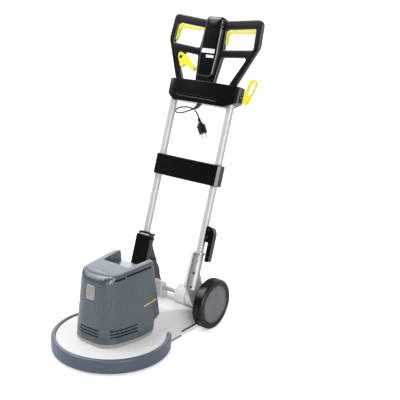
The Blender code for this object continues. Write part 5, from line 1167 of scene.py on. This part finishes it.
# Screws in pairs at the rear, left and right: node, radius, places as (x, z)
REAR_SCREWS = {
    "frame_rear_screws": ("handle_frame_rear", 0.0040,
                          ((0.194, 1.079), (0.074, 1.067), (0.198, 0.992), (0.126, 0.862))),
    "crosshead_rear_screws": ("crosshead_rear", 0.0042, ((0.148, 0.812), (0.070, 0.768), (0.070, 0.822))),
    "brace_rear_screws": ("mid_brace", 0.0045, ((0.1365, 0.472), (0.1365, 0.513))),
}


def make_handle_screws():
    to_front, to_rear = (0, -1, 0), (0, 1, 0)
    for name, (node, radius, places) in REAR_SCREWS.items():
        starts = [(side * x, 0.2, z) for side in (-1, 1) for x, z in places]
        screws(name, node, starts, to_front, radius, "steel", HANDLE)
    starts = [(0.0, 0.2, 1.050), (0.0, 0.2, 0.895)]
    screws("column_rear_screws", "column_rear_cover", starts, to_front, 0.0040, "steel", HANDLE)
    starts = [(0.1411, -0.2, 0.1107), (0.1414, -0.2, 0.0562)]
    screws("sleeve_bolts_right", "sleeve_right", starts, to_rear, 0.0046, "black_plastic", HANDLE)
    starts = [(0.163, -0.2, 0.286), (0.163, -0.2, 0.256)]
    screws("low_hook_screws", "low_cable_hook", starts, to_rear, 0.0042, "black_plastic", HANDLE)


def crosshead_groove():
    """Cutter for the long groove low on the crosshead's bowed front."""
    steps = 16
    start, length, reach, depth = -0.106, 0.194, 0.006, 0.0045
    rings = []
    for i in range(steps + 1):
        x = start + length * i / steps
        front = -0.025 - 0.017 * (1.0 - (x / 0.140) ** 2)
        middle = 0.7762 - 0.0032 * i / steps
        half = 0.0044 if 0 < i < steps else 0.0024
        rings.append([(x, front - reach, middle - half), (x, front + depth, middle - half),
                      (x, front + depth, middle + half), (x, front - reach, middle + half)])
    return moved(skin(rings), HANDLE)


def tube_holes():
    """Cutters for the two drilled holes low on the left tube."""
    aim = Vector((-0.0092, -0.0112, 0.0)).normalized()
    cutters = []
    for height in (0.2941, 0.2529):
        hole = turned(((0.0032, 0.006), (0.0032, 0.030)), 20)
        cutters.append(moved(hole, HANDLE @ seat(Vector((-TUBE_X, 0.0, height)), aim, UP)))
    return cutters


def lock_cap_window():
    return moved(block((-0.1290, -0.0600, 0.2085), (-0.0840, -0.0300, 0.2250)), HANDLE)


def lock_front_groove():
    return moved(block((-0.1412, -0.0600, 0.0850), (-0.1398, -0.0442, 0.1960)), HANDLE)


# Assembly

# Edges of the solids that are dressed as they are, in millimetres
EDGES_MM = {
    "bumper_end_left": 1.0, "bumper_end_right": 1.0, "neck_base_plate": 0.6, "axle_drum_right": 1.2,
    "burnishing_pad": 2.0, "pad_driver": 1.0, "drive_hub": 0.8, "pivot_hub_right": 1.0,
    "handle_bracket_right": 1.2, "handle_tube_right": 0.5, "lock_plunger": 0.6, "mid_brace": 1.5,
    "low_cable_hook": 3.5, "hook_stud": 0.8, "tilt_lever_pin": 0.5, "cord_gland": 0.6, "safety_button": 0.6,
    "stator_housing": 0.6, "motor_end_bell": 0.6, "upper_bearing": 0.4, "lower_bearing": 0.4,
    "run_capacitor": 0.6, "rotor_shaft": 0.4, "rotor_core": 0.5, "cooling_fan": 0.4, "switch_unit": 0.8,
}

# The same for solids with shallow angles in their moulded faces, of which only steep ones are edges
ROUNDED_MM = {"neck_housing": 1.5, "crosshead_rear": 1.2, "handle_frame_rear": 0.6, "column_rear_cover": 0.8}

# Solids with another finish than their own, and their edges
REFINISHED_MM = {
    "handle_bracket_left": ("black_plastic", 1.2), "sleeve_left": ("black_plastic", 0.8),
    "lock_quadrant": ("black_plastic", 0.6), "axle_rod": ("silver_paint", 0.6),
    "sleeve_right": ("cast_aluminium", 0.8),
}


def dress_solids():
    for node, edge in EDGES_MM.items():
        dress(node, edge)
    for node, edge in ROUNDED_MM.items():
        dress(node, edge, (), SMOOTH_ANGLE)
    for node, (finish, edge) in REFINISHED_MM.items():
        dress(node, edge, finish=finish)
    dress("crosshead_front", 1.0, [crosshead_groove()], SMOOTH_ANGLE)
    dress("handle_tube_left", 0.4, tube_holes())
    dress("motor_cover", 0.9, (), SMOOTH_ANGLE, reshape=fuller_cover)
    dress("cover_plinth", 0.8, reshape=rounder_front)
    dress("lock_housing", 0.5, [lock_front_groove()])
    dress("lock_housing_cap", 0.5, [lock_cap_window()])
    dress("tilt_lever", 1.5, place=about(TILT_PIN, TILT_LEVER_SCALE))
    dress("cable_hook", 1.5, place=about(HOOK_FOOT, HOOK_LEAN))


def main():
    make_camera()
    make_lead()
    make_gland_ribs()
    dress_solids()
    make_deck()
    make_bumper()
    make_hood()
    make_cover_trim()
    make_neck_trim()
    make_wheels()
    make_axle_support()
    make_frame_front()
    make_column_shell()
    make_switch_levers()
    make_lock_trim()
    make_column_plates()
    make_control_trim()
    make_handle_screws()
    make_studio()
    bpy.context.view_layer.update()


main()
